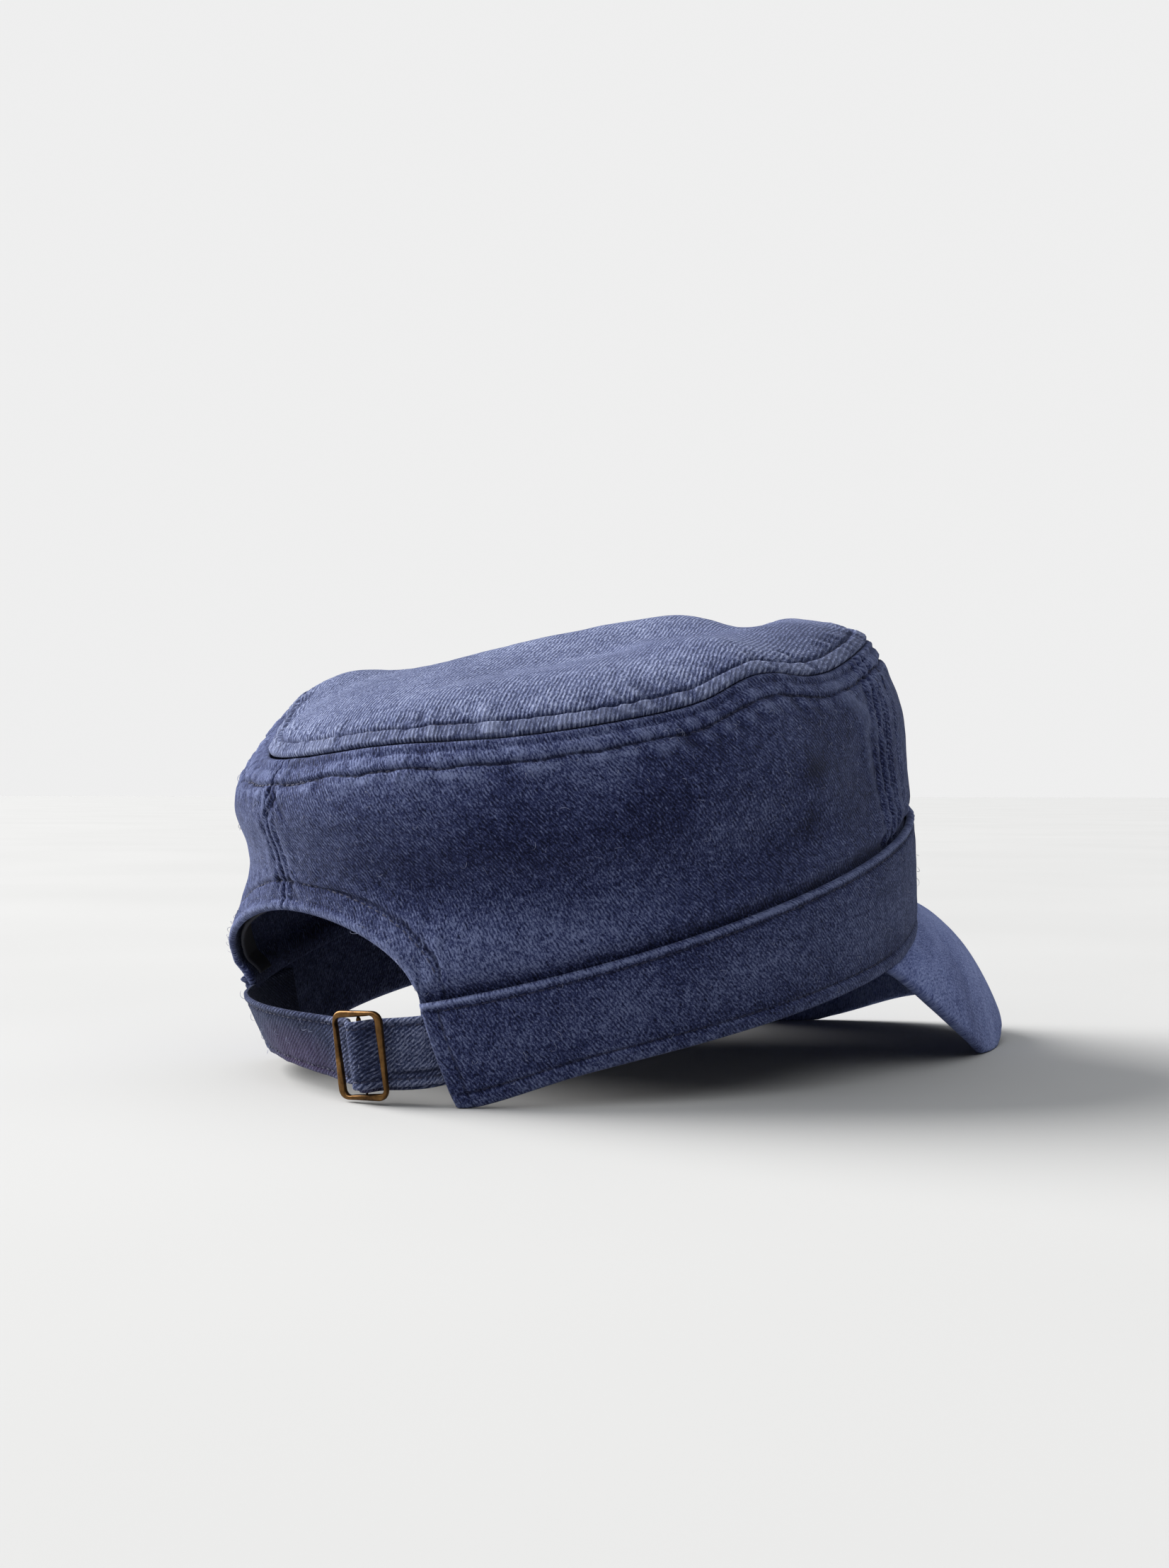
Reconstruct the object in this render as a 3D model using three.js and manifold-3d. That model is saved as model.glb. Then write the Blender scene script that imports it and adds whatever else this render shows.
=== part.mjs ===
// A soft washed-cotton fatigue cap: a flat oval top on an upright crown wall, a stitched band round
// the head, a short drooping peak, and at the back an arched opening that is closed below by a cloth
// strap and a brass slide buckle. Units are millimetres and degrees.
//
// The shape is worked out in the cap's own frame, where the band's lower edge lies near height 0,
// forward is +Y and the wearer's right is +X. An angle "round" the head is 0 at the front, 90 at the
// right and 180 at the back. The finished cap is then tipped back so that it stands on its peak and
// on the two ends of its band, as a cap does when it is put down.

import * as THREE from "three";
import { mergeVertices } from "three/addons/utils/BufferGeometryUtils.js";
import Module from "manifold-3d";

// Driving dimensions
const CLOTH = 1.6; // one seamed thickness of crown cloth
const BAND_THICKNESS = 2.0; // folded band with its stiffening
const PEAK_THICKNESS = 3.4; // covered board
const FACING_THICKNESS = 1.0; // tape inside the opening's edge
const STRAP_THICKNESS = 1.2;
const TAB_THICKNESS = 1.0;
const SEAM_GAP = 0.35; // clearance left between neighbouring pieces
const BAND_TUCK = 5; // how far the crown wall reaches down behind the band
const SEAM_HALF_GAP_ANGLE = 0.14; // half the gap at an upright seam, as an angle round the head

const REST_TILT = 11.2; // the front is raised by this when the cap is put down
const REST_LIFT = 19; // height of the cap frame's origin over the ground
const REST_SHIFT = -19.8; // moves the footprint's middle to the origin

const SIDE_SEAM = 52; // angle of the seams between the front panel and the side panels
const ARCH_HALF_ANGLE = 33; // half width of the back opening, as an angle round the head
const ARCH_TOP = 46; // height of the opening's crest
const ARCH_ROUNDNESS = 1.85; // exponent of the arch's outline
const BAND_END_LOW_RIGHT = 140.4; // angles of the band's ends at their lower corners
const BAND_END_LOW_LEFT = 134;
const BAND_END_HIGH = 146.5; // and at their upper corners
const FACING_WIDTH = 9;
const FACING_CLEARANCE = 1.5; // between the crown wall and the facing, where it slopes
const FACING_REACH = 92; // the crown's radius at the opening, to turn widths into angles
const STRAP_REACH = 104; // and at the strap
const STRAP_HELD_FROM = 40; // this far from the back's middle the strap follows the band
const STRAP_HELD_FADE = 9;
const BAND_END_SAG_RIGHT = 4.2; // the band's ends hang this far down
const BAND_END_SAG_LEFT = 4.8;
const BAND_END_SAG_REACH = 14;
const BAND_TOP_MIDDLE = 29; // height of the band's upper edge at the sides
const BAND_TOP_SLOPE = 7.5; // it is this much higher in front and lower at the back
const BAND_TOP_FOLLOWS_RISE = 0.35; // share of the front rise that the upper edge takes
const WALL_INSET = BAND_THICKNESS + 1.5 * SEAM_GAP; // the wall lies this far in behind the band
const WALL_INSET_FADE = 6; // and comes out to full size over this height above it
const STRAP_END_REACH = 47.5; // between these angles the wall leaves room for the strap's ends
const TUCK_FADE = 4;
const ARCH_ROLL = 1.5; // height of the arch's rolled edge

const STRAP_WIDTH = 17;
const BUCKLE_ANGLE = 157.5; // where the buckle sits
const BUCKLE_WIDTH = 15.5;
const BUCKLE_HEIGHT = 22.6;
const BUCKLE_WIRE = 1.9;
const BUCKLE_CORNER = 3;
const BUCKLE_DEPTH = 1.6;
const BUCKLE_BEVEL = 0.35;
const BUCKLE_INNER_CORNER = 1.95;
const BUCKLE_PLAY = 0.6; // between the strap's top edge and the frame
const CENTRE_BAR_RADIUS = 0.65;
const CENTRE_BAR_LEVEL = -0.8; // the bar lies this far behind the frame's middle
const TAB_DROP = 1.4; // the tab lies this much lower than the strap
const TAB_TRIM = 0.4; // and is this much narrower
const STRAP_RIGHT = 33; // how far the strap's free end is tucked past the buckle
const STRAP_LEFT = -132; // and where its sewn end lies under the band's other end
const HUMP_HALF_WIDTH = 4; // half length of the strap's hump over the centre bar
// Levels of the strap's outer face: along the crown, under the buckle's sides, over its centre bar
const STRAP_LEVEL = -BAND_THICKNESS - 2 * SEAM_GAP;
const UNDER_SIDES = -BUCKLE_DEPTH / 2 - 2 * SEAM_GAP;
const OVER_CENTRE =
  CENTRE_BAR_LEVEL + CENTRE_BAR_RADIUS + TAB_THICKNESS + STRAP_THICKNESS + 2.6 * SEAM_GAP;

const PEAK_ROOT_ANGLE = 60; // half angle of the peak's seam with the band
const FRONT_RISE = 7; // how far the band's lower edge arches up over the forehead
const FRONT_RISE_REACH = PEAK_ROOT_ANGLE + 8; // angle at which that arch has died out

// The crown's horizontal sections: how far it reaches forward, backward and to each side
const CROWN_SECTIONS = [
  { height: 0, front: 98.6, back: 105.5, side: 79.9 },
  { height: 15, front: 101.5, back: 103, side: 81.8 },
  { height: 29.5, front: 103.5, back: 98.6, side: 82.6 },
  { height: 45, front: 103, back: 93, side: 82.4 },
  { height: 60, front: 102, back: 90.5, side: 82.6 },
  { height: 71, front: 100, back: 91, side: 82.6 },
  { height: 79, front: 97.6, back: 88.5, side: 81 },
  { height: 85, front: 95.8, back: 83.3, side: 78.1 },
];
const CROWN_HEIGHT = 85;
const CROWN_FRONT_LIFT = 2.6; // the top seam is this much higher in front than at the sides
const CROWN_END_LIFT = 1.7; // and this much higher at both ends than at the sides
const LIFT_LIMIT = 1.2; // the lift grows with height, up to this share of the crown's

// Where the soft top seam is pushed up or sags, along the angle round the head
const SEAM_WAVES = [
  { round: 17, length: 14, rise: -1.6 },
  { round: 66, length: 12, rise: -1.5 },
  { round: 84, length: 9, rise: 3.9 },
  { round: 153, length: 18, rise: 1.9 },
  { round: 238, length: 24, rise: 12 },
];

// Main dents (negative depth) and swells of the crown wall
const WALL_FOLDS = [
  { round: 120, height: 44, length: 42, width: 8, depth: -3.2, slope: 4 },
  { round: 128, height: 64, length: 40, width: 9, depth: 1.2, slope: 0 },
  { round: 88, height: 62, length: 22, width: 9, depth: 1.6, slope: 10 },
  { round: 62, height: 55, length: 14, width: 15, depth: -2.2, slope: 0 },
  { round: 32, height: 64, length: 26, width: 18, depth: 2.6, slope: 0 },
  { round: 207, height: 34, length: 24, width: 16, depth: 5.5, slope: 0 },
  { round: 200, height: 74, length: 44, width: 14, depth: 2.4, slope: 0 },
  { round: -110, height: 46, length: 36, width: 9, depth: -2.6, slope: -5 },
  { round: -70, height: 58, length: 16, width: 14, depth: -1.8, slope: 8 },
  { round: 222, height: 90, length: 28, width: 11, depth: -8, slope: 0 },
];

// Soft ridges and hollows of the top panel, placed by side and forward distance
const TOP_FOLDS = [
  { side: 8, forward: 20, length: 60, width: 16, rise: 4.5, heading: 20 },
  { side: -38, forward: 40, length: 26, width: 22, rise: 2.4, heading: 60 },
  { side: -12, forward: 76, length: 34, width: 12, rise: -2, heading: 80 },
  { side: 30, forward: -20, length: 50, width: 12, rise: -2, heading: 10 },
  { side: 30, forward: 66, length: 22, width: 16, rise: -4, heading: 60 },
  { side: -2, forward: 70, length: 34, width: 9, rise: -13, heading: -55 },
  { side: -56, forward: -9, length: 34, width: 14, rise: -4.5, heading: -55 },
];
const TOP_DOME = 13.3;
const TOP_FLATNESS = 6; // higher numbers keep the panel flat further out

// The peak's free edge on one side, from the middle of the front to the seam's end
const PEAK_EDGE = [
  { share: 0, side: 0, forward: 140.5, height: -34.5 },
  { share: 0.2, side: 21, forward: 134.5, height: -37 },
  { share: 0.4, side: 38, forward: 118.5, height: -40.8 },
  { share: 0.57, side: 49, forward: 102, height: -41.2 },
  { share: 0.75, side: 60, forward: 84, height: -30 },
  { share: 0.9, side: 67, forward: 65, height: -14.5 },
  { share: 1, side: 69.5, forward: 49, height: -2 },
];
const PEAK_CROWN = 8; // how far the peak bulges, up and forwards, between its seam and its edge
const PEAK_DROP_BELOW_BAND = 0.35;

// How the strap hangs between the band's ends: lean tips its lower edge inwards
const STRAP_HANG = [
  { round: 130, top: 19.5, lean: -5 },
  { round: 150, top: 19.8, lean: -8 },
  { round: 160, top: 20.2, lean: -3 },
  { round: 170, top: 20.5, lean: 8 },
  { round: 185, top: 20.8, lean: 15 },
  { round: 200, top: 20.8, lean: 15 },
  { round: 215, top: 20, lean: 5 },
  { round: 228, top: 19, lean: -4 },
];

const rad = THREE.MathUtils.degToRad;
const clamp = THREE.MathUtils.clamp;

// Smooth curve through the rows of a table, read at a place along its key column
function readTable(rows, key, column, at) {
  const last = rows.length - 1;
  if (at <= rows[0][key]) return rows[0][column];
  if (at >= rows[last][key]) return rows[last][column];
  const i = rows.findIndex((row) => row[key] > at) - 1;
  const slope = (j) => {
    const before = rows[Math.max(j - 1, 0)];
    const after = rows[Math.min(j + 1, last)];
    return (after[column] - before[column]) / (after[key] - before[key]);
  };
  const [from, to] = [rows[i], rows[i + 1]];
  const span = to[key] - from[key];
  const t = (at - from[key]) / span;
  return (
    from[column] * (1 + 2 * t) * (1 - t) ** 2 +
    to[column] * t * t * (3 - 2 * t) +
    slope(i) * span * t * (1 - t) ** 2 -
    slope(i + 1) * span * t * t * (1 - t)
  );
}

// Signed difference of two angles, in -180 to 180
const turn = (a, b) => ((((a - b + 180) % 360) + 360) % 360) - 180;

// A swell that is long along one direction and falls off like a bell
const bell = (along, across, length, width) =>
  Math.exp(-((along / length) ** 2) - (across / width) ** 2);

// Height in the cap frame at which a point this far forward would meet the ground
const groundHeight = (forward) =>
  -(forward * Math.sin(rad(REST_TILT)) + REST_LIFT) / Math.cos(rad(REST_TILT));

// Heights of the wall's main lines at an angle round the head
const topSeamHeight = (round) =>
  CROWN_HEIGHT +
  CROWN_FRONT_LIFT * Math.cos(rad(round)) +
  CROWN_END_LIFT * Math.cos(2 * rad(round)) +
  SEAM_WAVES.reduce((sum, wave) => {
    return sum + wave.rise * bell(turn(round, wave.round), 0, wave.length, 1);
  }, 0);

const frontRise = (round) => {
  const reach = clamp(1 - Math.abs(turn(round, 0)) / FRONT_RISE_REACH, 0, 1);
  return FRONT_RISE * reach * reach * (3 - 2 * reach);
};

const bandTopHeight = (round) =>
  BAND_TOP_MIDDLE +
  BAND_TOP_SLOPE * Math.cos(rad(round)) +
  BAND_TOP_FOLLOWS_RISE * frontRise(round);

const archHeight = (round) => {
  const away = Math.abs(turn(round, 180)) / ARCH_HALF_ANGLE;
  if (away >= 1) return -Infinity;
  const foot = bandTopHeight(180 - ARCH_HALF_ANGLE);
  return foot + (ARCH_TOP - foot) * (1 - away ** ARCH_ROUNDNESS) ** (1 / ARCH_ROUNDNESS);
};

function foldDepth(round, height) {
  return WALL_FOLDS.reduce((sum, fold) => {
    const along = turn(round, fold.round);
    const across = height - fold.height - (fold.slope * along) / fold.length;
    return sum + fold.depth * bell(along, across, fold.length, fold.width);
  }, 0);
}

// A point on the outside of the crown, moved outwards by offset
function crownPoint(round, height, offset = 0) {
  const lift = topSeamHeight(round) - CROWN_HEIGHT;
  const level = height - lift * clamp(height / CROWN_HEIGHT, 0, LIFT_LIMIT);
  const reach = (column) => readTable(CROWN_SECTIONS, "height", column, level);
  const c = Math.cos(rad(round));
  const s = Math.sin(rad(round));
  const ends = c > 0 ? reach("front") : reach("back");
  const grow = offset + foldDepth(round, level);
  return new THREE.Vector3((reach("side") + grow) * s, (ends + grow) * c, height);
}

const smallStep = 1e-3;

// Outward normal of a surface given as point(u, v), u running round and v upwards
function normalOf(point, u, v) {
  const du = point(u + smallStep, v).sub(point(u - smallStep, v));
  const dv = point(u, v + smallStep).sub(point(u, v - smallStep));
  return dv.cross(du).normalize();
}

// Closed solid between an outer and an inner sheet, each read on the same grid of u and v
function solidSheet(outer, inner, uSteps, vSteps, adjust = (p) => p) {
  const positions = [];
  const sheets = [outer, inner];
  for (const sheet of sheets)
    for (let j = 0; j <= vSteps; j++)
      for (let i = 0; i <= uSteps; i++)
        positions.push(...adjust(sheet(i / uSteps, j / vSteps)).toArray());
  const row = uSteps + 1;
  const sheetSize = row * (vSteps + 1);
  const at = (sheet, i, j) => sheet * sheetSize + j * row + i;
  const faces = [];
  const quad = (a, b, c, d) => faces.push(a, b, c, a, c, d);
  for (let j = 0; j < vSteps; j++)
    for (let i = 0; i < uSteps; i++) {
      quad(at(0, i, j), at(0, i, j + 1), at(0, i + 1, j + 1), at(0, i + 1, j));
      quad(at(1, i, j), at(1, i + 1, j), at(1, i + 1, j + 1), at(1, i, j + 1));
    }
  for (let i = 0; i < uSteps; i++) {
    quad(at(0, i, 0), at(0, i + 1, 0), at(1, i + 1, 0), at(1, i, 0));
    quad(at(0, i, vSteps), at(1, i, vSteps), at(1, i + 1, vSteps), at(0, i + 1, vSteps));
  }
  for (let j = 0; j < vSteps; j++) {
    quad(at(0, 0, j), at(1, 0, j), at(1, 0, j + 1), at(0, 0, j + 1));
    quad(at(0, uSteps, j), at(0, uSteps, j + 1), at(1, uSteps, j + 1), at(1, uSteps, j));
  }
  const geometry = new THREE.BufferGeometry();
  geometry.setAttribute("position", new THREE.Float32BufferAttribute(positions, 3));
  geometry.setIndex(faces);
  geometry.computeVertexNormals();
  return geometry;
}

// Sheet solid whose inner side is the outer one moved in along its normal
function walledSheet(point, thickness, uSteps, vSteps, adjust) {
  const inner = (u, v) => point(u, v).addScaledVector(normalOf(point, u, v), -thickness);
  return solidSheet(point, inner, uSteps, vSteps, adjust);
}

const mix = (from, to, share) => from + (to - from) * share;

const material = (color, roughness, metalness = 0) =>
  new THREE.MeshStandardMaterial({ color, roughness, metalness });
const twill = material(0x56618c, 0.95);
const wornTwill = material(0x66719b, 0.95);
const tape = material(0x15161f, 0.9);
const brass = material(0x8a6432, 0.35, 1);

const cap = new THREE.Group();

function addPiece(name, geometry, finish) {
  const piece = new THREE.Mesh(geometry, finish);
  piece.name = name;
  cap.add(piece);
  return piece;
}

// Crown wall: a front panel between the side seams and two side panels that meet at the back.
// Behind the band, and just above it, the wall lies inside the crown's full size.
const WALL_STEPS = 9;

function wallOffset(round, height) {
  const over = height - bandTopHeight(round);
  const buried = clamp(1 - over / WALL_INSET_FADE, 0, 1);
  return -WALL_INSET * buried * buried * (3 - 2 * buried);
}

// The wall reaches down behind the band, but not behind the band's ends, where the strap is
function wallFoot(round) {
  const fromEnd = (STRAP_END_REACH + TUCK_FADE - Math.abs(turn(round, 180))) / TUCK_FADE;
  const tuck = BAND_TUCK * clamp(1 - fromEnd, 0, 1);
  return Math.max(bandTopHeight(round) - tuck, archHeight(round));
}

// The wall's lowest row of faces is the part that the band hides, or the arch's rolled edge
function wallPanel(roundAt) {
  return (u, v) => {
    const round = roundAt(u);
    const foot = wallFoot(round);
    const knee = Math.max(bandTopHeight(round) + SEAM_GAP, foot + ARCH_ROLL);
    const top = topSeamHeight(round) - CLOTH - SEAM_GAP;
    const row = v * WALL_STEPS;
    const height = row < 1 ? mix(foot, knee, row) : mix(knee, top, (row - 1) / (WALL_STEPS - 1));
    return crownPoint(round, height, wallOffset(round, height));
  };
}

// Angle of the arch's outline at a turn of 0 to 90 degrees from its foot to its crest
const archRound = (theta) =>
  ARCH_HALF_ANGLE * Math.abs(Math.cos(rad(theta))) ** (2 / ARCH_ROUNDNESS);

// A side panel's columns are even up to the arch's foot and then follow the arch's outline
const SHARE_BEFORE_ARCH = 0.6;
function sideRound(u) {
  if (u < SHARE_BEFORE_ARCH)
    return mix(SIDE_SEAM + SEAM_HALF_GAP_ANGLE, 180 - ARCH_HALF_ANGLE, u / SHARE_BEFORE_ARCH);
  const theta = (90 * (u - SHARE_BEFORE_ARCH)) / (1 - SHARE_BEFORE_ARCH);
  const fit = 1 - SEAM_HALF_GAP_ANGLE / ARCH_HALF_ANGLE;
  return 180 - SEAM_HALF_GAP_ANGLE - archRound(theta) * fit;
}

const FRONT_STEPS = 22;
const SIDE_STEPS = 35;
const frontRound = (u) => (2 * u - 1) * (SIDE_SEAM - SEAM_HALF_GAP_ANGLE);
addPiece(
  "crown_front",
  walledSheet(wallPanel(frontRound), CLOTH, FRONT_STEPS, WALL_STEPS),
  twill,
);
addPiece(
  "crown_side_right",
  walledSheet(wallPanel(sideRound), CLOTH, SIDE_STEPS, WALL_STEPS),
  twill,
);
addPiece(
  "crown_side_left",
  walledSheet(wallPanel((u) => 360 - sideRound(1 - u)), CLOTH, SIDE_STEPS, WALL_STEPS),
  twill,
);

// Crown top: one oval panel on the top seam, mapped from a square so that it has no pole
function topPoint(round, reach) {
  const edge = crownPoint(round, topSeamHeight(round));
  const middle = (CROWN_SECTIONS.at(-1).front - CROWN_SECTIONS.at(-1).back) / 2;
  const side = edge.x * reach;
  const forward = middle + (edge.y - middle) * reach;
  const flat = CROWN_HEIGHT + (topSeamHeight(round) - CROWN_HEIGHT) * reach * reach;
  const dome = TOP_DOME * (1 - reach ** TOP_FLATNESS);
  const folds = TOP_FOLDS.reduce((sum, fold) => {
    const c = Math.cos(rad(fold.heading));
    const s = Math.sin(rad(fold.heading));
    const along = (forward - fold.forward) * c + (side - fold.side) * s;
    const across = (side - fold.side) * c - (forward - fold.forward) * s;
    return sum + fold.rise * bell(along, across, fold.length, fold.width);
  }, 0);
  return new THREE.Vector3(side, forward, flat + dome + folds * (1 - reach ** 4));
}

function topSheet(u, v) {
  const a = 2 * u - 1;
  const b = 1 - 2 * v;
  const x = a * Math.sqrt(1 - (b * b) / 2);
  const y = b * Math.sqrt(1 - (a * a) / 2);
  return topPoint(THREE.MathUtils.radToDeg(Math.atan2(x, y)), Math.hypot(x, y));
}

const TOP_STEPS = 20;
const topUnderside = (u, v) => topSheet(u, v).add(new THREE.Vector3(0, 0, -CLOTH));
addPiece("crown_top", solidSheet(topSheet, topUnderside, TOP_STEPS, TOP_STEPS), wornTwill);

// Band: one folded strip round the head, open at the back, its lower edge arched over the
// forehead, let down at its two ends, and pressed flat where it meets the ground
function bandFoot(round) {
  const right = bell(turn(round, 0) - BAND_END_LOW_RIGHT, 0, BAND_END_SAG_REACH, 1);
  const left = bell(turn(round, 0) + BAND_END_LOW_LEFT, 0, BAND_END_SAG_REACH, 1);
  return frontRise(round) - BAND_END_SAG_RIGHT * right - BAND_END_SAG_LEFT * left;
}

const pressFlat = (p) => p.setZ(Math.max(p.z, groundHeight(p.y)));

function bandSheet(u, v) {
  const low = u < 0.5 ? BAND_END_LOW_LEFT : BAND_END_LOW_RIGHT;
  const round = (2 * u - 1) * mix(low, BAND_END_HIGH, v);
  return crownPoint(round, mix(bandFoot(round), bandTopHeight(round), v));
}

const BAND_STEPS_ROUND = 64;
const BAND_STEPS_UP = 4;
addPiece(
  "band",
  walledSheet(bandSheet, BAND_THICKNESS, BAND_STEPS_ROUND, BAND_STEPS_UP, pressFlat),
  twill,
);

// Facing: a tape inside the crown along the arched edge
function facingSheet(u, v) {
  const theta = Math.PI * u;
  const power = 2 / ARCH_ROUNDNESS;
  const foot = bandTopHeight(180 - ARCH_HALF_ANGLE) + SEAM_GAP;
  const halfAngle = ARCH_HALF_ANGLE + THREE.MathUtils.radToDeg((v * FACING_WIDTH) / FACING_REACH);
  const rise = ARCH_TOP - foot + v * FACING_WIDTH;
  const round = 180 - halfAngle * Math.sign(Math.cos(theta)) * Math.abs(Math.cos(theta)) ** power;
  const height = foot + rise * Math.abs(Math.sin(theta)) ** power;
  return crownPoint(round, height, wallOffset(round, height) - CLOTH - FACING_CLEARANCE);
}

const FACING_STEPS = 36;
addPiece("opening_facing", walledSheet(facingSheet, FACING_THICKNESS, FACING_STEPS, 2), tape);

// Peak: a covered board sewn under the band's front edge; share runs from the middle (0) to an end (1)
const peakBulgeWay = new THREE.Vector3(0, Math.SQRT1_2, Math.SQRT1_2);
function peakSheet(u, v) {
  const sign = Math.sign(2 * u - 1);
  const share = Math.abs(2 * u - 1);
  const round = sign * share * PEAK_ROOT_ANGLE;
  const root = crownPoint(round, bandFoot(round), -BAND_THICKNESS / 2);
  root.z -= PEAK_DROP_BELOW_BAND;
  const read = (column) => readTable(PEAK_EDGE, "share", column, share);
  const edge = new THREE.Vector3(sign * read("side"), read("forward"), read("height"));
  const bulge = 4 * PEAK_CROWN * v * (1 - v) * (1 - share ** 3);
  return edge.lerp(root, v).addScaledVector(peakBulgeWay, bulge);
}

const PEAK_STEPS_ACROSS = 32;
const PEAK_STEPS_OUT = 6;
addPiece(
  "peak",
  walledSheet(peakSheet, PEAK_THICKNESS, PEAK_STEPS_ACROSS, PEAK_STEPS_OUT, pressFlat),
  twill,
);

// The strap, its tab and the buckle share one frame at the back: a place along the strap measured
// from the buckle towards the band's right end, a level outwards from the crown's surface, and a
// distance down from the strap's top edge
function strapPoint(along, level, down) {
  const round = BUCKLE_ANGLE - THREE.MathUtils.radToDeg(along / STRAP_REACH);
  const top = readTable(STRAP_HANG, "round", "top", round);
  const lean = rad(readTable(STRAP_HANG, "round", "lean", round));
  const outward = new THREE.Vector3(Math.sin(rad(round)), Math.cos(rad(round)), 0);
  const across = new THREE.Vector3(0, 0, Math.cos(lean)).addScaledVector(outward, Math.sin(lean));
  const face = outward.clone().multiplyScalar(Math.cos(lean)).setZ(-Math.sin(lean));
  const hanging = crownPoint(round, top).addScaledVector(across, -down).addScaledVector(face, level);
  const under = crownPoint(round, top - down, level);
  const free = clamp((STRAP_HELD_FROM - Math.abs(turn(round, 180))) / STRAP_HELD_FADE, 0, 1);
  return under.lerp(hanging, free * free * (3 - 2 * free));
}

function strapLevel(along) {
  const near = bell(along, 0, BUCKLE_WIDTH, 1);
  const over = Math.exp(-((Math.abs(along) / HUMP_HALF_WIDTH) ** 3));
  return mix(mix(STRAP_LEVEL, UNDER_SIDES, near), OVER_CENTRE, over);
}

// The strap's columns are closest over the centre bar: a row for each stretch, with its steps
const STRAP_STRETCHES = [
  { from: STRAP_LEFT, to: -3.5 * HUMP_HALF_WIDTH, steps: 22 },
  { from: -3.5 * HUMP_HALF_WIDTH, to: -1.5 * HUMP_HALF_WIDTH, steps: 5 },
  { from: -1.5 * HUMP_HALF_WIDTH, to: 1.5 * HUMP_HALF_WIDTH, steps: 18 },
  { from: 1.5 * HUMP_HALF_WIDTH, to: 3.5 * HUMP_HALF_WIDTH, steps: 5 },
  { from: 3.5 * HUMP_HALF_WIDTH, to: STRAP_RIGHT, steps: 5 },
];
const STRAP_STEPS = STRAP_STRETCHES.reduce((sum, stretch) => sum + stretch.steps, 0);
function strapAlong(u) {
  let step = u * STRAP_STEPS;
  let along = STRAP_LEFT;
  for (const stretch of STRAP_STRETCHES) {
    const share = clamp(step / stretch.steps, 0, 1);
    if (step >= 0) along = mix(stretch.from, stretch.to, share);
    step -= stretch.steps;
  }
  return along;
}

function strapSheet(u, v) {
  const along = strapAlong(1 - u);
  return strapPoint(along, strapLevel(along), STRAP_WIDTH * (1 - v));
}

addPiece("strap", walledSheet(strapSheet, STRAP_THICKNESS, STRAP_STEPS, 2), twill);

// Tab: comes from under the band's right end, passes round the buckle's centre bar and ends
// behind itself
const TAB_PATH = [
  { along: 33, level: -4.9 },
  { along: 20, level: -4.9 },
  { along: 11, level: -4.3 },
  { along: 7.5, level: -4.0 },
  { along: 4.8, level: -3.5 },
  { along: 2.8, level: -1.9 },
  { along: 1.3, level: 0.15 },
  { along: 0, level: 0.6 },
  { along: -1.25, level: 0.15 },
  { along: -1.6, level: -0.9 },
  { along: -1.1, level: -2.1 },
  { along: 0.6, level: -3.2 },
  { along: 3, level: -4.6 },
  { along: 7, level: -5.5 },
  { along: 12, level: -5.9 },
];
const tabCurve = new THREE.CatmullRomCurve3(
  TAB_PATH.map(({ along, level }) => new THREE.Vector3(along, level, 0)),
);
function tabSide(side) {
  return (u, v) => {
    const at = tabCurve.getPoint(clamp(u, 0, 1));
    const way = tabCurve.getTangent(clamp(u, 0, 1));
    const along = at.x + side * way.y * (TAB_THICKNESS / 2);
    const level = at.y - side * way.x * (TAB_THICKNESS / 2);
    return strapPoint(along, level, TAB_DROP + (STRAP_WIDTH - TAB_TRIM) * (1 - v));
  };
}

const TAB_STEPS = 3 * (TAB_PATH.length - 1);
addPiece("strap_tab", solidSheet(tabSide(1), tabSide(-1), TAB_STEPS, 1), twill);

// Buckle: a flat brass frame with a thin bar across its middle, joined with manifold-3d
const wasm = await Module();
wasm.setup();

function toSolid(geometry) {
  const bare = geometry.clone();
  bare.deleteAttribute("normal");
  bare.deleteAttribute("uv");
  const merged = mergeVertices(bare, 1e-4);
  return new wasm.Manifold(
    new wasm.Mesh({
      numProp: 3,
      vertProperties: merged.attributes.position.array,
      triVerts: new Uint32Array(merged.index.array),
    }),
  );
}

function toGeometry(solid) {
  const mesh = solid.getMesh();
  const geometry = new THREE.BufferGeometry();
  geometry.setAttribute("position", new THREE.Float32BufferAttribute(mesh.vertProperties, 3));
  geometry.setIndex(new THREE.Uint32BufferAttribute(mesh.triVerts, 1));
  geometry.computeVertexNormals();
  return geometry;
}

function roundedRectangle(path, width, height, radius) {
  const [x, y] = [width / 2, height / 2];
  path.moveTo(-x + radius, -y);
  path.lineTo(x - radius, -y).absarc(x - radius, -y + radius, radius, -Math.PI / 2, 0);
  path.lineTo(x, y - radius).absarc(x - radius, y - radius, radius, 0, Math.PI / 2);
  path.lineTo(-x + radius, y).absarc(-x + radius, y - radius, radius, Math.PI / 2, Math.PI);
  path.lineTo(-x, -y + radius).absarc(-x + radius, -y + radius, radius, Math.PI, 1.5 * Math.PI);
  return path;
}

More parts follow.
